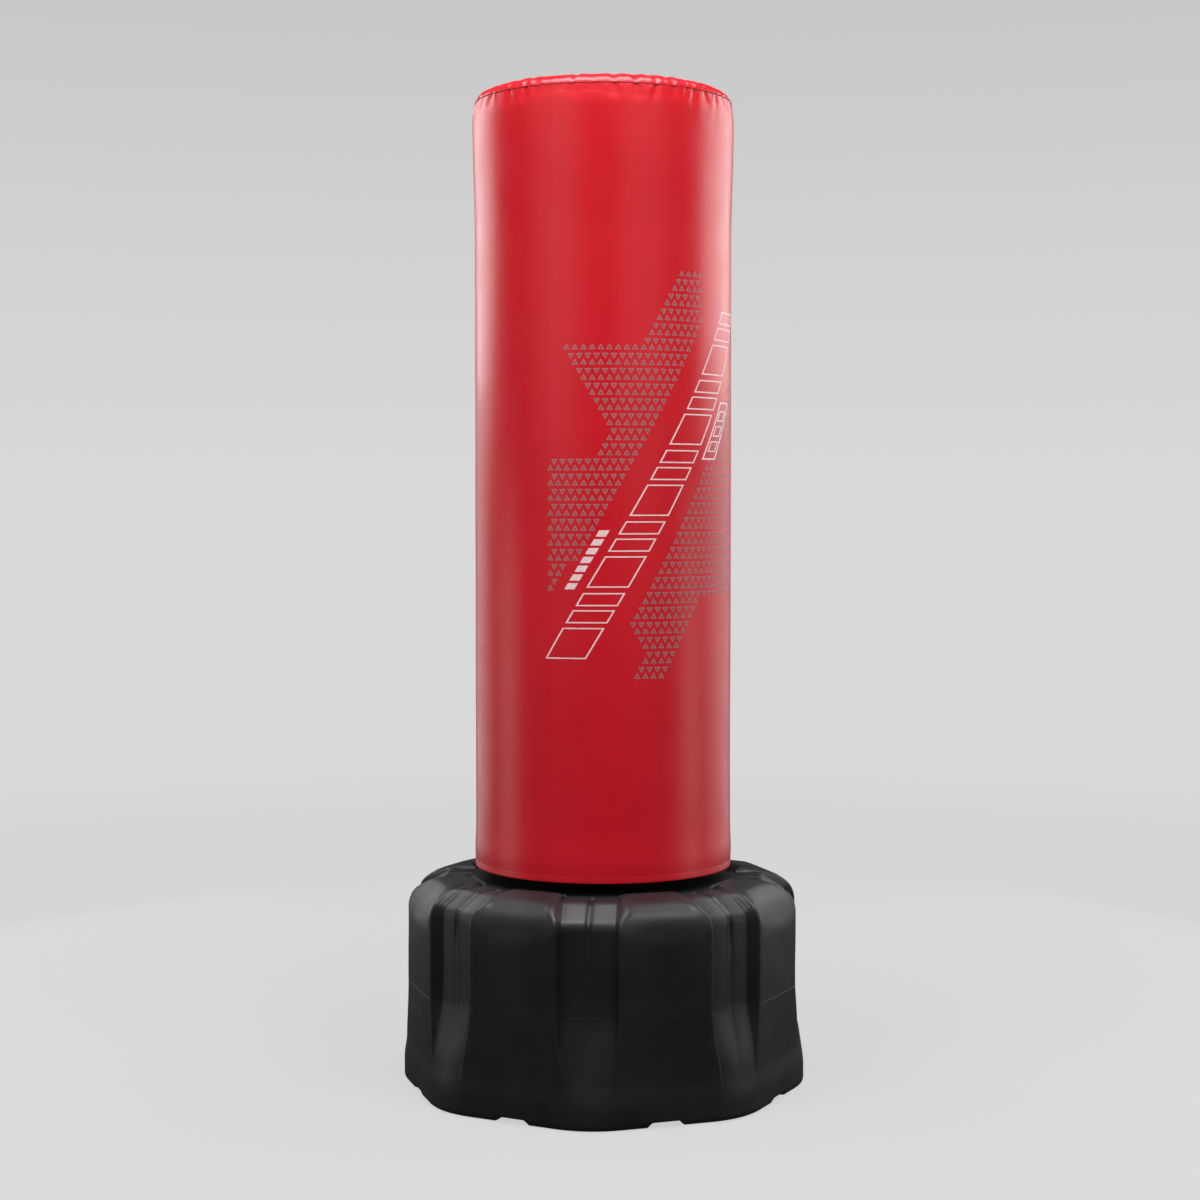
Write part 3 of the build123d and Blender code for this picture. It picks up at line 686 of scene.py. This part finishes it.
def sleeve_radius(angle, z):
    """Radius of the cover's side: a slight swell below the top seam and the foam's soft unevenness."""
    radius = BAG_R
    if z > STRAIGHT_Z:
        radius += SWELL * ease((z - STRAIGHT_Z) / (BULGE_Z - STRAIGHT_Z))
    if z > BULGE_Z:
        radius -= (SWELL + BAG_R - SEAM_R) * ((z - BULGE_Z) / (SEAM_Z - BULGE_Z)) ** 2.2
    radius += 1.5 * math.exp(-(((z - BAG_BOTTOM_Z - 32) / 26) ** 2))
    x, y = direction(angle)
    fade = ease((SEAM_Z - z) / 60) * ease((z - BAG_BOTTOM_Z) / 40)
    away_from_zip = ease((1 - y) / 0.05)
    return radius + 0.7 * wave(x * BAG_R, y * BAG_R, z * 0.5, 120, 7.7) * fade * away_from_zip


def make_puckers():
    """Gathers along the top seam: angle, depth, reach up, reach down, width and lean."""
    puckers = []
    angle = 0.05
    while angle < math.tau - 0.04:
        strong = rng.random() < 0.55
        depth = rng.uniform(3.0, 5.2) if strong else rng.uniform(0.6, 1.6)
        puckers.append((
            angle,
            depth,
            rng.uniform(16, 36) if strong else rng.uniform(7, 16),
            rng.uniform(10, 22) if strong else rng.uniform(5, 12),
            rng.uniform(2.8, 5.0),
            rng.uniform(-0.35, 0.35),
        ))
        angle += rng.uniform(0.06, 0.19)
    return puckers


PUCKERS = make_puckers()


def pucker_depth(angle, distance, up):
    """How far the gathers draw the cover in, at a distance from the seam in millimetres."""
    total = 0.0
    for middle, depth, reach_up, reach_down, width, lean in PUCKERS:
        reach = reach_up if up else reach_down
        if distance > 3.2 * reach:
            continue
        off = ((angle - middle + math.pi) % math.tau - math.pi) * SEAM_R - lean * distance
        spread = width * (1 + distance / reach * 0.8)
        if abs(off) < 4 * spread:
            valley = math.exp(-((off / spread) ** 2))
            flank = 0.45 * math.exp(-(((abs(off) - 2.0 * spread) / spread) ** 2))
            total += depth * (valley - flank) * math.exp(-distance / reach)
    return total * ease((distance + 1.5) / 5)


def cover_point(angle, z=None, r=None):
    """A point of the cover's outer face, on the side at height z or on the top panel at radius r."""
    x, y = direction(angle)
    if r is None:
        radius = sleeve_radius(angle, z)
        if z > SEAM_Z - 70:
            radius -= 0.55 * pucker_depth(angle, SEAM_Z - z, False)
        return x * radius, y * radius, z
    if r > DOME_R:
        part = (r - DOME_R) / (SEAM_R - 0.3 - DOME_R)
        height = SEAM_Z + DOME_EDGE * math.sqrt(max(1 - part * part, 0))
    else:
        height = SEAM_Z + DOME_EDGE + CROWN * (1 - (r / DOME_R) ** 2)
    if r > 60:
        drawn = pucker_depth(angle, SEAM_R - r, True)
        rounding = ease((SEAM_R - r) / 6)
        height -= drawn * (0.35 + 0.65 * rounding)
        r -= 0.5 * drawn * (1 - rounding)
        height += 0.8 * wave(x * r, y * r, 0, 70, 9.1) * ease((SEAM_R - r) / 30)
    return x * r, y * r, height


def cover_rows():
    """Rows of the cover from the hem to the middle of the top, as (z, None) or (None, r)."""
    low = [0, 0.8, 2, 3.5, 5, 6.2, 7.2, 8.4, 10, 12, 15, 20, 26, 33, 42, 54]
    side = [BAG_BOTTOM_Z + step for step in low]
    side += list(np.linspace(side[-1] + 20, SLOT_TOP_Z - 22, 48))
    side += [SLOT_TOP_Z - 8, SLOT_TOP_Z, SLOT_TOP_Z + 6]
    side += list(np.linspace(SLOT_TOP_Z + 20, SEAM_Z - 152, 7))
    side += list(np.arange(SEAM_Z - 148, SEAM_Z - 24, 4.0))
    side += list(np.linspace(SEAM_Z - 22, SEAM_Z, 12))
    top = [SEAM_R - 0.3 - step for step in (0.35, 0.9, 1.8, 3.2, 5, 7.2, 9.8, 12.8, 16, 19.5)]
    top += list(np.arange(SEAM_R - 24, SIM_INNER_R - 6, -4.0)) + [94, 78, 60, 42, 26, 12]
    return [(z, None) for z in side] + [(None, r) for r in top]


def cover_angles():
    """Column angles: the two edges of the slot, then even steps round the bag."""
    edge = math.asin(SLOT_HALF / BAG_R)
    near = [edge + step / BAG_R for step in (0, 1.2, 2.6)]
    middle = list(np.linspace(near[-1] + 0.012, math.tau - near[-1] - 0.012, COVER_COLUMNS))
    return near + middle + [math.tau - a for a in reversed(near)]


def hem_push(z, angle):
    """The folded hem stands a little proud and is drawn in by its row of stitches."""
    above = z - BAG_BOTTOM_Z
    if above > 14:
        return 0.0
    folded = 0.55 * (1 - ease((above - 8.0) / 2.2))
    edge = -0.5 * (1 - ease(above / 1.2))
    stitch = -0.35 * math.exp(-(((above - HEM_STITCH_RISE) / 1.0) ** 2))
    return folded + edge + stitch + 0.12 * wave(angle * 230, 0, above, 9, 3.0)


def gather_top(points, rows, columns):
    """Settles the top of the cover as pressed cloth whose seam thread is drawn tight."""
    first = next(i for i, (z, r) in enumerate(rows) if r is not None or z >= SIM_BOTTOM_Z)
    last = max(i for i, (z, r) in enumerate(rows) if r is None or r >= SIM_INNER_R)
    block = points[first:last + 1]
    count = len(block)
    from_seam = [SEAM_Z - z if r is None else SEAM_R - r for z, r in rows[first:last + 1]]
    cloth = mesh_object("cloth_work", block.reshape(-1, 3), grid_faces(count, columns))
    pinned = cloth.vertex_groups.new(name="pinned")
    drawn = cloth.vertex_groups.new(name="drawn")
    for i in range(count):
        edge = min(i, count - 1 - i)
        ring = list(range(i * columns, (i + 1) * columns))
        if edge < PIN_ROWS:
            pinned.add(ring, (1.0 - edge / PIN_ROWS) ** 0.5, "REPLACE")
        if from_seam[i] < DRAWN_BAND:
            drawn.add(ring, 1.0 - from_seam[i] / DRAWN_BAND, "REPLACE")
    cloth_modifier = cloth.modifiers.new("cloth", "CLOTH")
    settings = cloth_modifier.settings
    settings.quality = 6
    settings.mass = 0.3
    settings.tension_stiffness = 30
    settings.compression_stiffness = 30
    settings.shear_stiffness = 12
    settings.bending_stiffness = 0.6
    settings.use_pressure = True
    settings.uniform_pressure_force = 0.8
    settings.vertex_group_mass = "pinned"
    settings.vertex_group_shrink = "drawn"
    settings.shrink_min = -0.004
    settings.shrink_max = 0.02
    settings.effector_weights.gravity = 0
    cloth_modifier.collision_settings.use_collision = False
    scene = bpy.context.scene
    for step in range(1, SIM_STEPS + 1):
        scene.frame_set(step)
    settled = cloth.evaluated_get(bpy.context.evaluated_depsgraph_get())
    coords = np.empty(len(cloth.data.vertices) * 3)
    settled.data.vertices.foreach_get("co", coords)
    scene.frame_set(1)
    bpy.data.objects.remove(cloth)
    moved = coords.reshape(count, columns, 3) / MM - block
    share = [SETTLE_SHARE * (1 - ease((distance - SETTLE_FULL) / SETTLE_FADE)) for distance in from_seam]
    moved *= np.array(share)[:, None, None]
    # the foam inside stops the cover from going in, and the thread from letting it out
    radial = block * (1, 1, 0)
    radial /= np.linalg.norm(radial, axis=2, keepdims=True)
    outward = (moved * radial).sum(axis=2, keepdims=True)
    upward = moved[..., 2:3].copy()
    sideways = moved - outward * radial
    sideways[..., 2] = 0
    points[first:last + 1] = (
        block
        + np.clip(outward, -MOST_INWARD, MOST_OUTWARD) * radial
        + np.clip(sideways, -MOST_SIDEWAYS, MOST_SIDEWAYS)
        + np.clip(upward, -MOST_INWARD, MOST_OUTWARD) * (0, 0, 1)
    )
    return points


def build_cover():
    """The sewn cover: side with the zip's slot at the back, and top panel."""
    rows = cover_rows()
    angles = cover_angles()
    columns = len(angles)
    points = np.array([[cover_point(a, z, r) for a in angles] for z, r in rows])
    points = gather_top(points, rows, columns)
    seam_row = max(i for i, (z, r) in enumerate(rows) if r is None)
    for i, (z, r) in enumerate(rows):
        if r is None and z < BAG_BOTTOM_Z + 14:
            for j, a in enumerate(angles):
                x, y = direction(a)
                points[i, j, :2] += np.array((x, y)) * hem_push(z, a)
    faces = []
    for i in range(len(rows) - 1):
        z = rows[i][0]
        open_slot = z is not None and z < SLOT_TOP_Z - 0.01
        for j in range(columns - 1 if open_slot else columns):
            k = (j + 1) % columns
            a, b = i * columns, (i + 1) * columns
            faces.append((a + j, a + k, b + k, b + j))
    verts = [tuple(p) for p in points.reshape(-1, 3)]
    faces += fan_faces(len(verts), len(verts) - columns, columns)
    verts.append((0, 0, TOP_Z))
    cover = mesh_object("cover", verts, faces, red_vinyl)
    solid = cover.modifiers.new("thickness", "SOLIDIFY")
    solid.thickness = VINYL_THICKNESS * MM
    solid.offset = -1
    return cover, points[seam_row]


def ride_bag(piece, slot_name, *replaced):
    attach(piece, "bag")
    if replaced:
        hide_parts(*replaced)


cover, seam_points = build_cover()
ride_bag(cover, "red_vinyl", "cover_sleeve", "cover_top")


def capsules(name, places, length, radius, material):
    """Short rounded bars in one mesh; each place is (middle, along, out), in millimetres."""
    sides, flat = 6, 0.75
    rings = ((-0.5, 0.35), (-0.36, 0.85), (-0.12, 1.0), (0.12, 1.0), (0.36, 0.85), (0.5, 0.35))
    verts, faces = [], []
    for middle, along, out in places:
        middle, along, out = np.array(middle), np.array(along), np.array(out)
        side = np.cross(along, out)
        start = len(verts)
        for s, size in rings:
            for k in range(sides):
                a = math.tau * k / sides
                lift = flat * math.sin(a)
                verts.append(middle + along * s * length + radius * size * (side * math.cos(a) + out * lift))
        faces += tube_faces(len(rings), sides, start)
    return mesh_object(name, verts, faces, material)


def seam_stitches():
    """Top seam: one stitch after another along the line where the two panels meet."""
    ring = np.array(seam_points)
    steps = np.linalg.norm(np.roll(ring, -1, axis=0) - ring, axis=1)
    reach = np.concatenate(([0], np.cumsum(steps)))
    loop = np.vstack((ring, ring[:1]))
    count = int(reach[-1] / 6.2)
    places = []
    for i in range(count):
        here = reach[-1] * (i + 0.5) / count
        a, b = [np.array([np.interp(here + d, reach, loop[:, k]) for k in range(3)]) for d in (-2.0, 2.0)]
        middle = (a + b) / 2
        out = np.array((middle[0], middle[1], 0)) / np.hypot(middle[0], middle[1])
        along = (b - a) / np.linalg.norm(b - a)
        places.append((middle + out * 0.25 + np.array((0, 0, 0.2)), along, out))
    return capsules("top_seam_stitches", places, 4.9, 0.95, dark_thread)


def hem_stitches():
    places = []
    edge = math.asin((SLOT_HALF + 2) / BAG_R)
    z = BAG_BOTTOM_Z + HEM_STITCH_RISE
    count = int((math.tau - 2 * edge) * BAG_R / 5.2)
    for i in range(count):
        angle = edge + (math.tau - 2 * edge) * (i + 0.5) / count
        x, y = direction(angle)
        radius = sleeve_radius(angle, z) + hem_push(z, angle) + 0.1
        places.append(((x * radius, y * radius, z), (y, -x, 0), (x, y, 0)))
    return capsules("hem_stitches", places, 3.9, 0.45, red_thread)


def zip_stitches():
    places = []
    for side in (-1, 1):
        angle = math.asin(11.0 / BAG_R) * -side
        x, y = direction(angle)
        for z in np.arange(BAG_BOTTOM_Z + 13, SLOT_TOP_Z - 2, 5.4):
            radius = sleeve_radius(angle, z) + 0.1
            places.append(((x * radius, y * radius, z), (0, 0, 1), (x, y, 0)))
    return capsules("zip_stitch_rows", places, 4.1, 0.45, red_thread)


ride_bag(seam_stitches(), "dark_thread", "top_seam_thread")
ride_bag(hem_stitches(), "red_thread", "hem_thread")
ride_bag(zip_stitches(), "red_thread", "zip_stitching")


# ---------------------------------------------------------------- zip teeth


TOOTH_PITCH = 2.0
TOOTH_SIDES = 8


def zip_coil(name, side):
    """One side's coil: a tooth every two millimetres, offset by half a pitch from the other side."""
    low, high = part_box(f"zip_teeth_{name}")
    z_low, z_high = low[2] / MM, high[2] / MM
    y_low, y_high = low[1] / MM, high[1] / MM
    y_mid, half = (y_low + y_high) / 2, (y_high - y_low) / 2
    inner, outer = -0.15, 2.75
    verts, faces = [], []
    shape = [(inner, 0.42), (inner + 0.35, 0.62), (inner + 0.9, 0.36), (outer - 0.5, 0.34), (outer, 0.26)]
    start_z = z_low + (0.5 if side > 0 else 1.5)
    for z in np.arange(start_z, z_high - 0.6, TOOTH_PITCH):
        start = len(verts)
        for x, thick in shape:
            for k in range(TOOTH_SIDES):
                a = math.tau * k / TOOTH_SIDES
                verts.append((side * x, y_mid + (half - 0.1) * math.sin(a) * (0.75 + thick * 0.4),
                              z + thick * math.cos(a)))
        faces += tube_faces(len(shape), TOOTH_SIDES, start)
    return mesh_object(f"zip_coil_{name}", verts, faces, zip_nylon)


for side_name, side in (("left", -1), ("right", 1)):
    ride_bag(zip_coil(side_name, side), "zip_coil", f"zip_teeth_{side_name}")


# ------------------------------------------------------------------- print
# Screen print on the sleeve: u runs round the bag in millimetres from the line
# that the print is centred on, z is the height. Every print piece is a thin
# closed layer on the cover.

PRINT_LINE = math.pi + CAMERA_AZIMUTH
PRINT_LOW, PRINT_HIGH = -0.25, 0.16
PRINT_TOP_Z = SEAM_Z - 309.0
PRINT_BOTTOM_Z = BAG_BOTTOM_Z + 349.0
STRIPE_RISE = math.radians(59.0)
STRIPE_U = 37.5
STRIPE_Z = BAG_BOTTOM_Z + 440.0
BAR_LEAN = -1 / math.tan(STRIPE_RISE)
STRIPE_STEP = 141.6
BAR_LOW, BAR_HEIGHT = 28, 62
MOTIF_PITCH = 14.7
MOTIF_OUTER, MOTIF_INNER = 6.4, 3.0


def on_cover(u, z, lift):
    angle = PRINT_LINE + u / BAG_R
    x, y = direction(angle)
    radius = sleeve_radius(angle, z) + lift
    return x * radius, y * radius, z


def divided(points, parts):
    """A closed outline with each side cut into parts, so that it follows the round of the bag."""
    result = []
    for a, b in zip(points, points[1:] + points[:1]):
        result += [(a[0] + (b[0] - a[0]) * k / parts, a[1] + (b[1] - a[1]) * k / parts) for k in range(parts)]
    return result


def printed(name, shapes, material, parts=1):
    """Each shape is (outer points, inner points or None): a ring or a filled convex patch."""
    verts, faces = [], []
    for outer, inner in shapes:
        if inner is not None:
            outer, inner = divided(outer, parts), divided(inner, parts)
        n = len(outer)
        loops = [outer] if inner is None else [outer, inner]
        start = len(verts)
        for lift in (PRINT_LOW, PRINT_HIGH):
            for loop in loops:
                verts += [on_cover(u, z, lift) for u, z in loop]
        up = start + n * len(loops)
        for k in range(n):
            m = (k + 1) % n
            faces.append((start + k, start + m, up + m, up + k))
            if inner is not None:
                faces.append((start + n + m, start + n + k, up + n + k, up + n + m))
                faces.append((up + k, up + m, up + n + m, up + n + k))
                faces.append((start + m, start + k, start + n + k, start + n + m))
        if inner is None:
            faces.append(tuple(up + k for k in range(n)))
            faces.append(tuple(start + k for k in reversed(range(n))))
    return mesh_object(name, verts, faces, material, smooth=False)


def inside(u, z, outline_points):
    hit = False
    for (u1, z1), (u2, z2) in zip(outline_points, outline_points[1:] + outline_points[:1]):
        if (z1 > z) != (z2 > z) and u < u1 + (z - z1) * (u2 - u1) / (z2 - z1):
            hit = not hit
    return hit


def triangle(u, z, size, turned):
    angles = [math.radians(a + (180 if turned else 0)) for a in (90, 210, 330)]
    return [(u + size * math.cos(a), z + size * math.sin(a)) for a in angles]


def motif_field(corners):
    """Small hollow triangles on a staggered grid inside an outline."""
    step_z = MOTIF_PITCH * math.sin(math.radians(60))
    us, zs = zip(*corners)
    low_u, high_u, low_z, high_z = min(us), max(us), min(zs), max(zs)
    shapes = []
    for row in range(int((high_z - low_z) / step_z) + 1):
        z = low_z + 4 + row * step_z
        for column in range(int((high_u - low_u) / MOTIF_PITCH) + 1):
            u = low_u + 4 + (column + 0.5 * (row % 2)) * MOTIF_PITCH
            if inside(u, z, corners):
                shapes.append([triangle(u, z, size, row % 2) for size in (MOTIF_OUTER, MOTIF_INNER)])
    return shapes


def along_stripe(s, h):
    """From distances along and across the slanted stripe to (u, z)."""
    u = STRIPE_U + s * math.cos(STRIPE_RISE) - h * math.sin(STRIPE_RISE)
    z = STRIPE_Z + s * math.sin(STRIPE_RISE) + h * math.cos(STRIPE_RISE)
    return u, z


def bar(start, length, low, height, inset=0.0):
    """Corners of a bar on the stripe whose ends are level."""
    right, top = length - inset, height - inset
    corners = ((inset, inset), (right, inset), (right, top), (inset, top))
    return [along_stripe(start + s + (low + h) * BAR_LEAN, low + h) for s, h in corners]


def outlined(start, length, low, height, stroke=2.6):
    return bar(start, length, low, height), bar(start, length, low, height, stroke)


upper_field = [(138, PRINT_TOP_Z), (192, PRINT_TOP_Z), (192, PRINT_TOP_Z - 92), (-96, PRINT_TOP_Z - 572),
               (-96, PRINT_TOP_Z - 320), (-16, PRINT_TOP_Z - 320), (14, PRINT_TOP_Z - 268),
               (-66, PRINT_TOP_Z - 134), (56, PRINT_TOP_Z - 134)]
lower_field = [(52, PRINT_BOTTOM_Z), (104, PRINT_BOTTOM_Z), (196, PRINT_BOTTOM_Z + 141),
               (305, PRINT_BOTTOM_Z + 141), (305, PRINT_BOTTOM_Z + 512), (291, PRINT_BOTTOM_Z + 512),
               (40, PRINT_BOTTOM_Z + 94), (68, PRINT_BOTTOM_Z + 44)]
motifs = motif_field(upper_field) + motif_field(lower_field)
ride_bag(printed("print_motifs", motifs, grey_ink), "red_vinyl")

long_bars = [outlined(-66 + i * STRIPE_STEP, 62, BAR_LOW, BAR_HEIGHT) for i in range(5)]
short_bars = [
    outlined(5 + i * STRIPE_STEP + shift, 26, BAR_LOW, BAR_HEIGHT) for i in range(5) for shift in (0, 34)
]
badge = [outlined(330, 118, -20, 34, 3.4)]
badge += [outlined(346 + i * 31, 22, -13, 20, 2.6) for i in range(3)]
ride_bag(printed("print_outlined_bars", long_bars + short_bars + badge, pale_ink, 14), "red_vinyl")

dashes = [(bar(72 + i * 17.4, 12.5, 106, 15), None) for i in range(7)]
ride_bag(printed("print_dashes", dashes, pale_ink), "red_vinyl")


# --------------------------------------------------------------------- foam


JOINT_DEPTH = 1.6
PAD_INSET = 3.2


def ring_solid(name, section, material):
    """A ring of foam from its closed (radius, z) section, with a glued butt joint on the front side."""
    segments = 180
    verts = []
    for r, z in section:
        for i in range(segments):
            a = math.tau * i / segments
            off = ((a + math.pi / 2 + 0.35 + math.pi) % math.tau - math.pi) * r
            dent = JOINT_DEPTH * math.exp(-((off / 4.0) ** 2)) * (1 if r > 100 else 0)
            soft = 0.5 * wave(r * math.cos(a), r * math.sin(a), z, 90, 5.5)
            reach = r - dent - abs(soft)
            verts.append((reach * math.cos(a), reach * math.sin(a), z))
    return mesh_object(name, verts, section_faces(len(section), segments), material)


def foam_ring(node_name, inner_r, material):
    low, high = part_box(node_name)
    edge = 3.0
    outer_r, z0, z1 = high[0] / MM - 0.6, low[2] / MM + 0.2, high[2] / MM - 0.2
    section = arc((outer_r - edge, z0 + edge), edge, -90, 0, 5)
    section += straight((outer_r, z0 + edge), (outer_r, z1 - edge), 24)
    section += arc((outer_r - edge, z1 - edge), edge, 0, 90, 5)
    section += arc((inner_r + edge, z1 - edge), edge, 90, 180, 5)
    section += straight((inner_r, z1 - edge), (inner_r, z0 + edge), 24)
    section += arc((inner_r + edge, z0 + edge), edge, 180, 270, 5)
    return ring_solid(f"{node_name}_pad", section, material)


def top_pad():
    """Round foam pad under the top panel: rounded edge and a slight crown."""
    low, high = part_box("top_foam")
    outer_r, z0, z1 = high[0] / MM - PAD_INSET, low[2] / MM + 0.2, high[2] / MM - 0.4
    profile = [(0, z0), (60, z0), (150, z0), (outer_r - 4, z0)]
    profile += arc((outer_r - 3, z0 + 3), 3, -80, 0, 4)
    profile += arc((outer_r - 22, z1 - 23), 22, 0, 82, 10)
    profile += [(170, z1 - 0.9), (110, z1 - 0.5), (50, z1 - 0.1), (0, z1)]
    return lathe("top_foam_pad", profile, soft_foam)


firm_inner_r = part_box("core_tube")[1][0] / MM + 0.3
firm_outer_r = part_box("firm_foam")[1][0] / MM
for piece, slot_name, foam_node in (
    (foam_ring("firm_foam", firm_inner_r, firm_foam), "firm_foam", "firm_foam"),
    (foam_ring("soft_foam", firm_outer_r + 0.3, soft_foam), "soft_foam", "soft_foam"),
    (top_pad(), "soft_foam", "top_foam"),
):
    ride_bag(piece, slot_name, foam_node)


# --------------------------------------------------------- stage and camera


FLOOR_R = 5500.0
WALL_R = 4000.0


def build_stage():
    """A pale floor that curves up into a wall and a ceiling all round."""
    profile = [(0, 0), (500, 0), (1500, 0), (3000, 0), (FLOOR_R, 0)]
    profile += arc((FLOOR_R, WALL_R), WALL_R, -80, 80, 21)
    profile += [(3000, 2 * WALL_R), (0, 2 * WALL_R)]
    stage = lathe("studio_floor", profile, None, 128)
    material, tree, shader = new_material("studio_paper")
    where = node(tree, "ShaderNodeSeparateXYZ", {"Vector": place(tree)})
    flat = node(tree, "ShaderNodeCombineXYZ", {"X": where.outputs["X"], "Y": where.outputs["Y"], "Z": 0.0})
    away = node(tree, "ShaderNodeVectorMath", {0: flat.outputs["Vector"]}, operation="LENGTH")
    out = remap(tree, away.outputs["Value"], 0.4, 5.0, 0.58, 0.68)
    up = remap(tree, where.outputs["Z"], 1.2, 6.0, 1.0, 0.72)
    glow = node(tree, "ShaderNodeMath", {0: out, 1: up}, operation="MULTIPLY").outputs["Value"]
    tree.links.new(glow, shader.inputs["Emission Strength"])
    shader.inputs["Emission Color"].default_value = rgb(1, 1, 1)
    tree.links.new(remap(tree, noise_value(tree, 1.5), 0.3, 0.7, 0.92, 0.97), shader.inputs["Roughness"])
    shader.inputs["Base Color"].default_value = rgb(0.08, 0.08, 0.08)
    shader.inputs["Specular IOR Level"].default_value = 0.0
    stage.data.materials.append(material)
    stage.visible_glossy = False
    stage.visible_diffuse = False
    stage.visible_shadow = False
    return stage


build_stage()


def from_front(azimuth, distance, z):
    """A spot round the bag in metres; azimuth is in radians from the front towards +X."""
    return distance * math.sin(azimuth), -distance * math.cos(azimuth), z


def area_light(name, spot, aim, size, radiance):
    """A soft box whose face has the given radiance; it is seen in reflections but not by the camera."""
    data = bpy.data.lights.new(name, "AREA")
    data.shape = "RECTANGLE"
    data.size, data.size_y = size
    data.energy = radiance * math.pi * size[0] * size[1]
    lamp = bpy.data.objects.new(name, data)
    lamp.location = spot
    lamp.rotation_euler = (Vector(aim) - Vector(spot)).to_track_quat("-Z", "Y").to_euler()
    lamp.visible_camera = False
    bpy.context.scene.collection.objects.link(lamp)
    return lamp


def round_light(name, azimuth, distance, z_low, z_high, width, radiance):
    """An upright soft box facing the bag; azimuth is in degrees."""
    middle = (z_low + z_high) / 2
    spot = from_front(math.radians(azimuth), distance, middle)
    area_light(name, spot, (0, 0, middle), (width, z_high - z_low), radiance)


KEY_AZIMUTH = 38.0
KEY_DISTANCE = 3.0
KEY_HEIGHT = 2.1
for side_name, side, key_radiance, rear_width in (("left", -1, 2.85, 1.5), ("right", 1, 3.3, 2.1)):
    key_spot = from_front(math.radians(side * KEY_AZIMUTH), KEY_DISTANCE, KEY_HEIGHT)
    key = area_light(f"{side_name}_key", key_spot, (0, 0, 1.0), (2.2, 2.2), key_radiance)
    key.visible_glossy = False
    round_light(f"{side_name}_rear_upper", side * 124, 2.1, 1.35, 2.6, rear_width, 3.3)
    round_light(f"{side_name}_rear_lower", side * 130, 2.1, 0.1, 1.35, rear_width * 0.9, 1.1)
    round_light(f"{side_name}_side_lower", side * 84, 1.9, 0.02, 1.0, 0.7, 1.4)
area_light("overhead", (0, -0.7, 3.4), (0, -0.2, 0.4), (2.4, 1.4), 10.0)

world = bpy.data.worlds.new("studio")
world.use_nodes = True
world.node_tree.nodes["Background"].inputs[0].default_value = rgb(1, 1, 1)
world.node_tree.nodes["Background"].inputs[1].default_value = 0.06
bpy.context.scene.world = world

camera_data = bpy.data.cameras.new("camera")
camera_data.lens = LENS
camera_data.sensor_width = 36.0
camera_data.dof.use_dof = False
camera = bpy.data.objects.new("camera", camera_data)
camera.location = from_front(CAMERA_AZIMUTH, CAMERA_DISTANCE, CAMERA_HEIGHT)
camera.rotation_euler = (math.pi / 2 - CAMERA_PITCH, 0, CAMERA_AZIMUTH + CAMERA_YAW)
bpy.context.scene.collection.objects.link(camera)
bpy.context.scene.camera = camera

bpy.context.scene.view_settings.view_transform = "Standard"
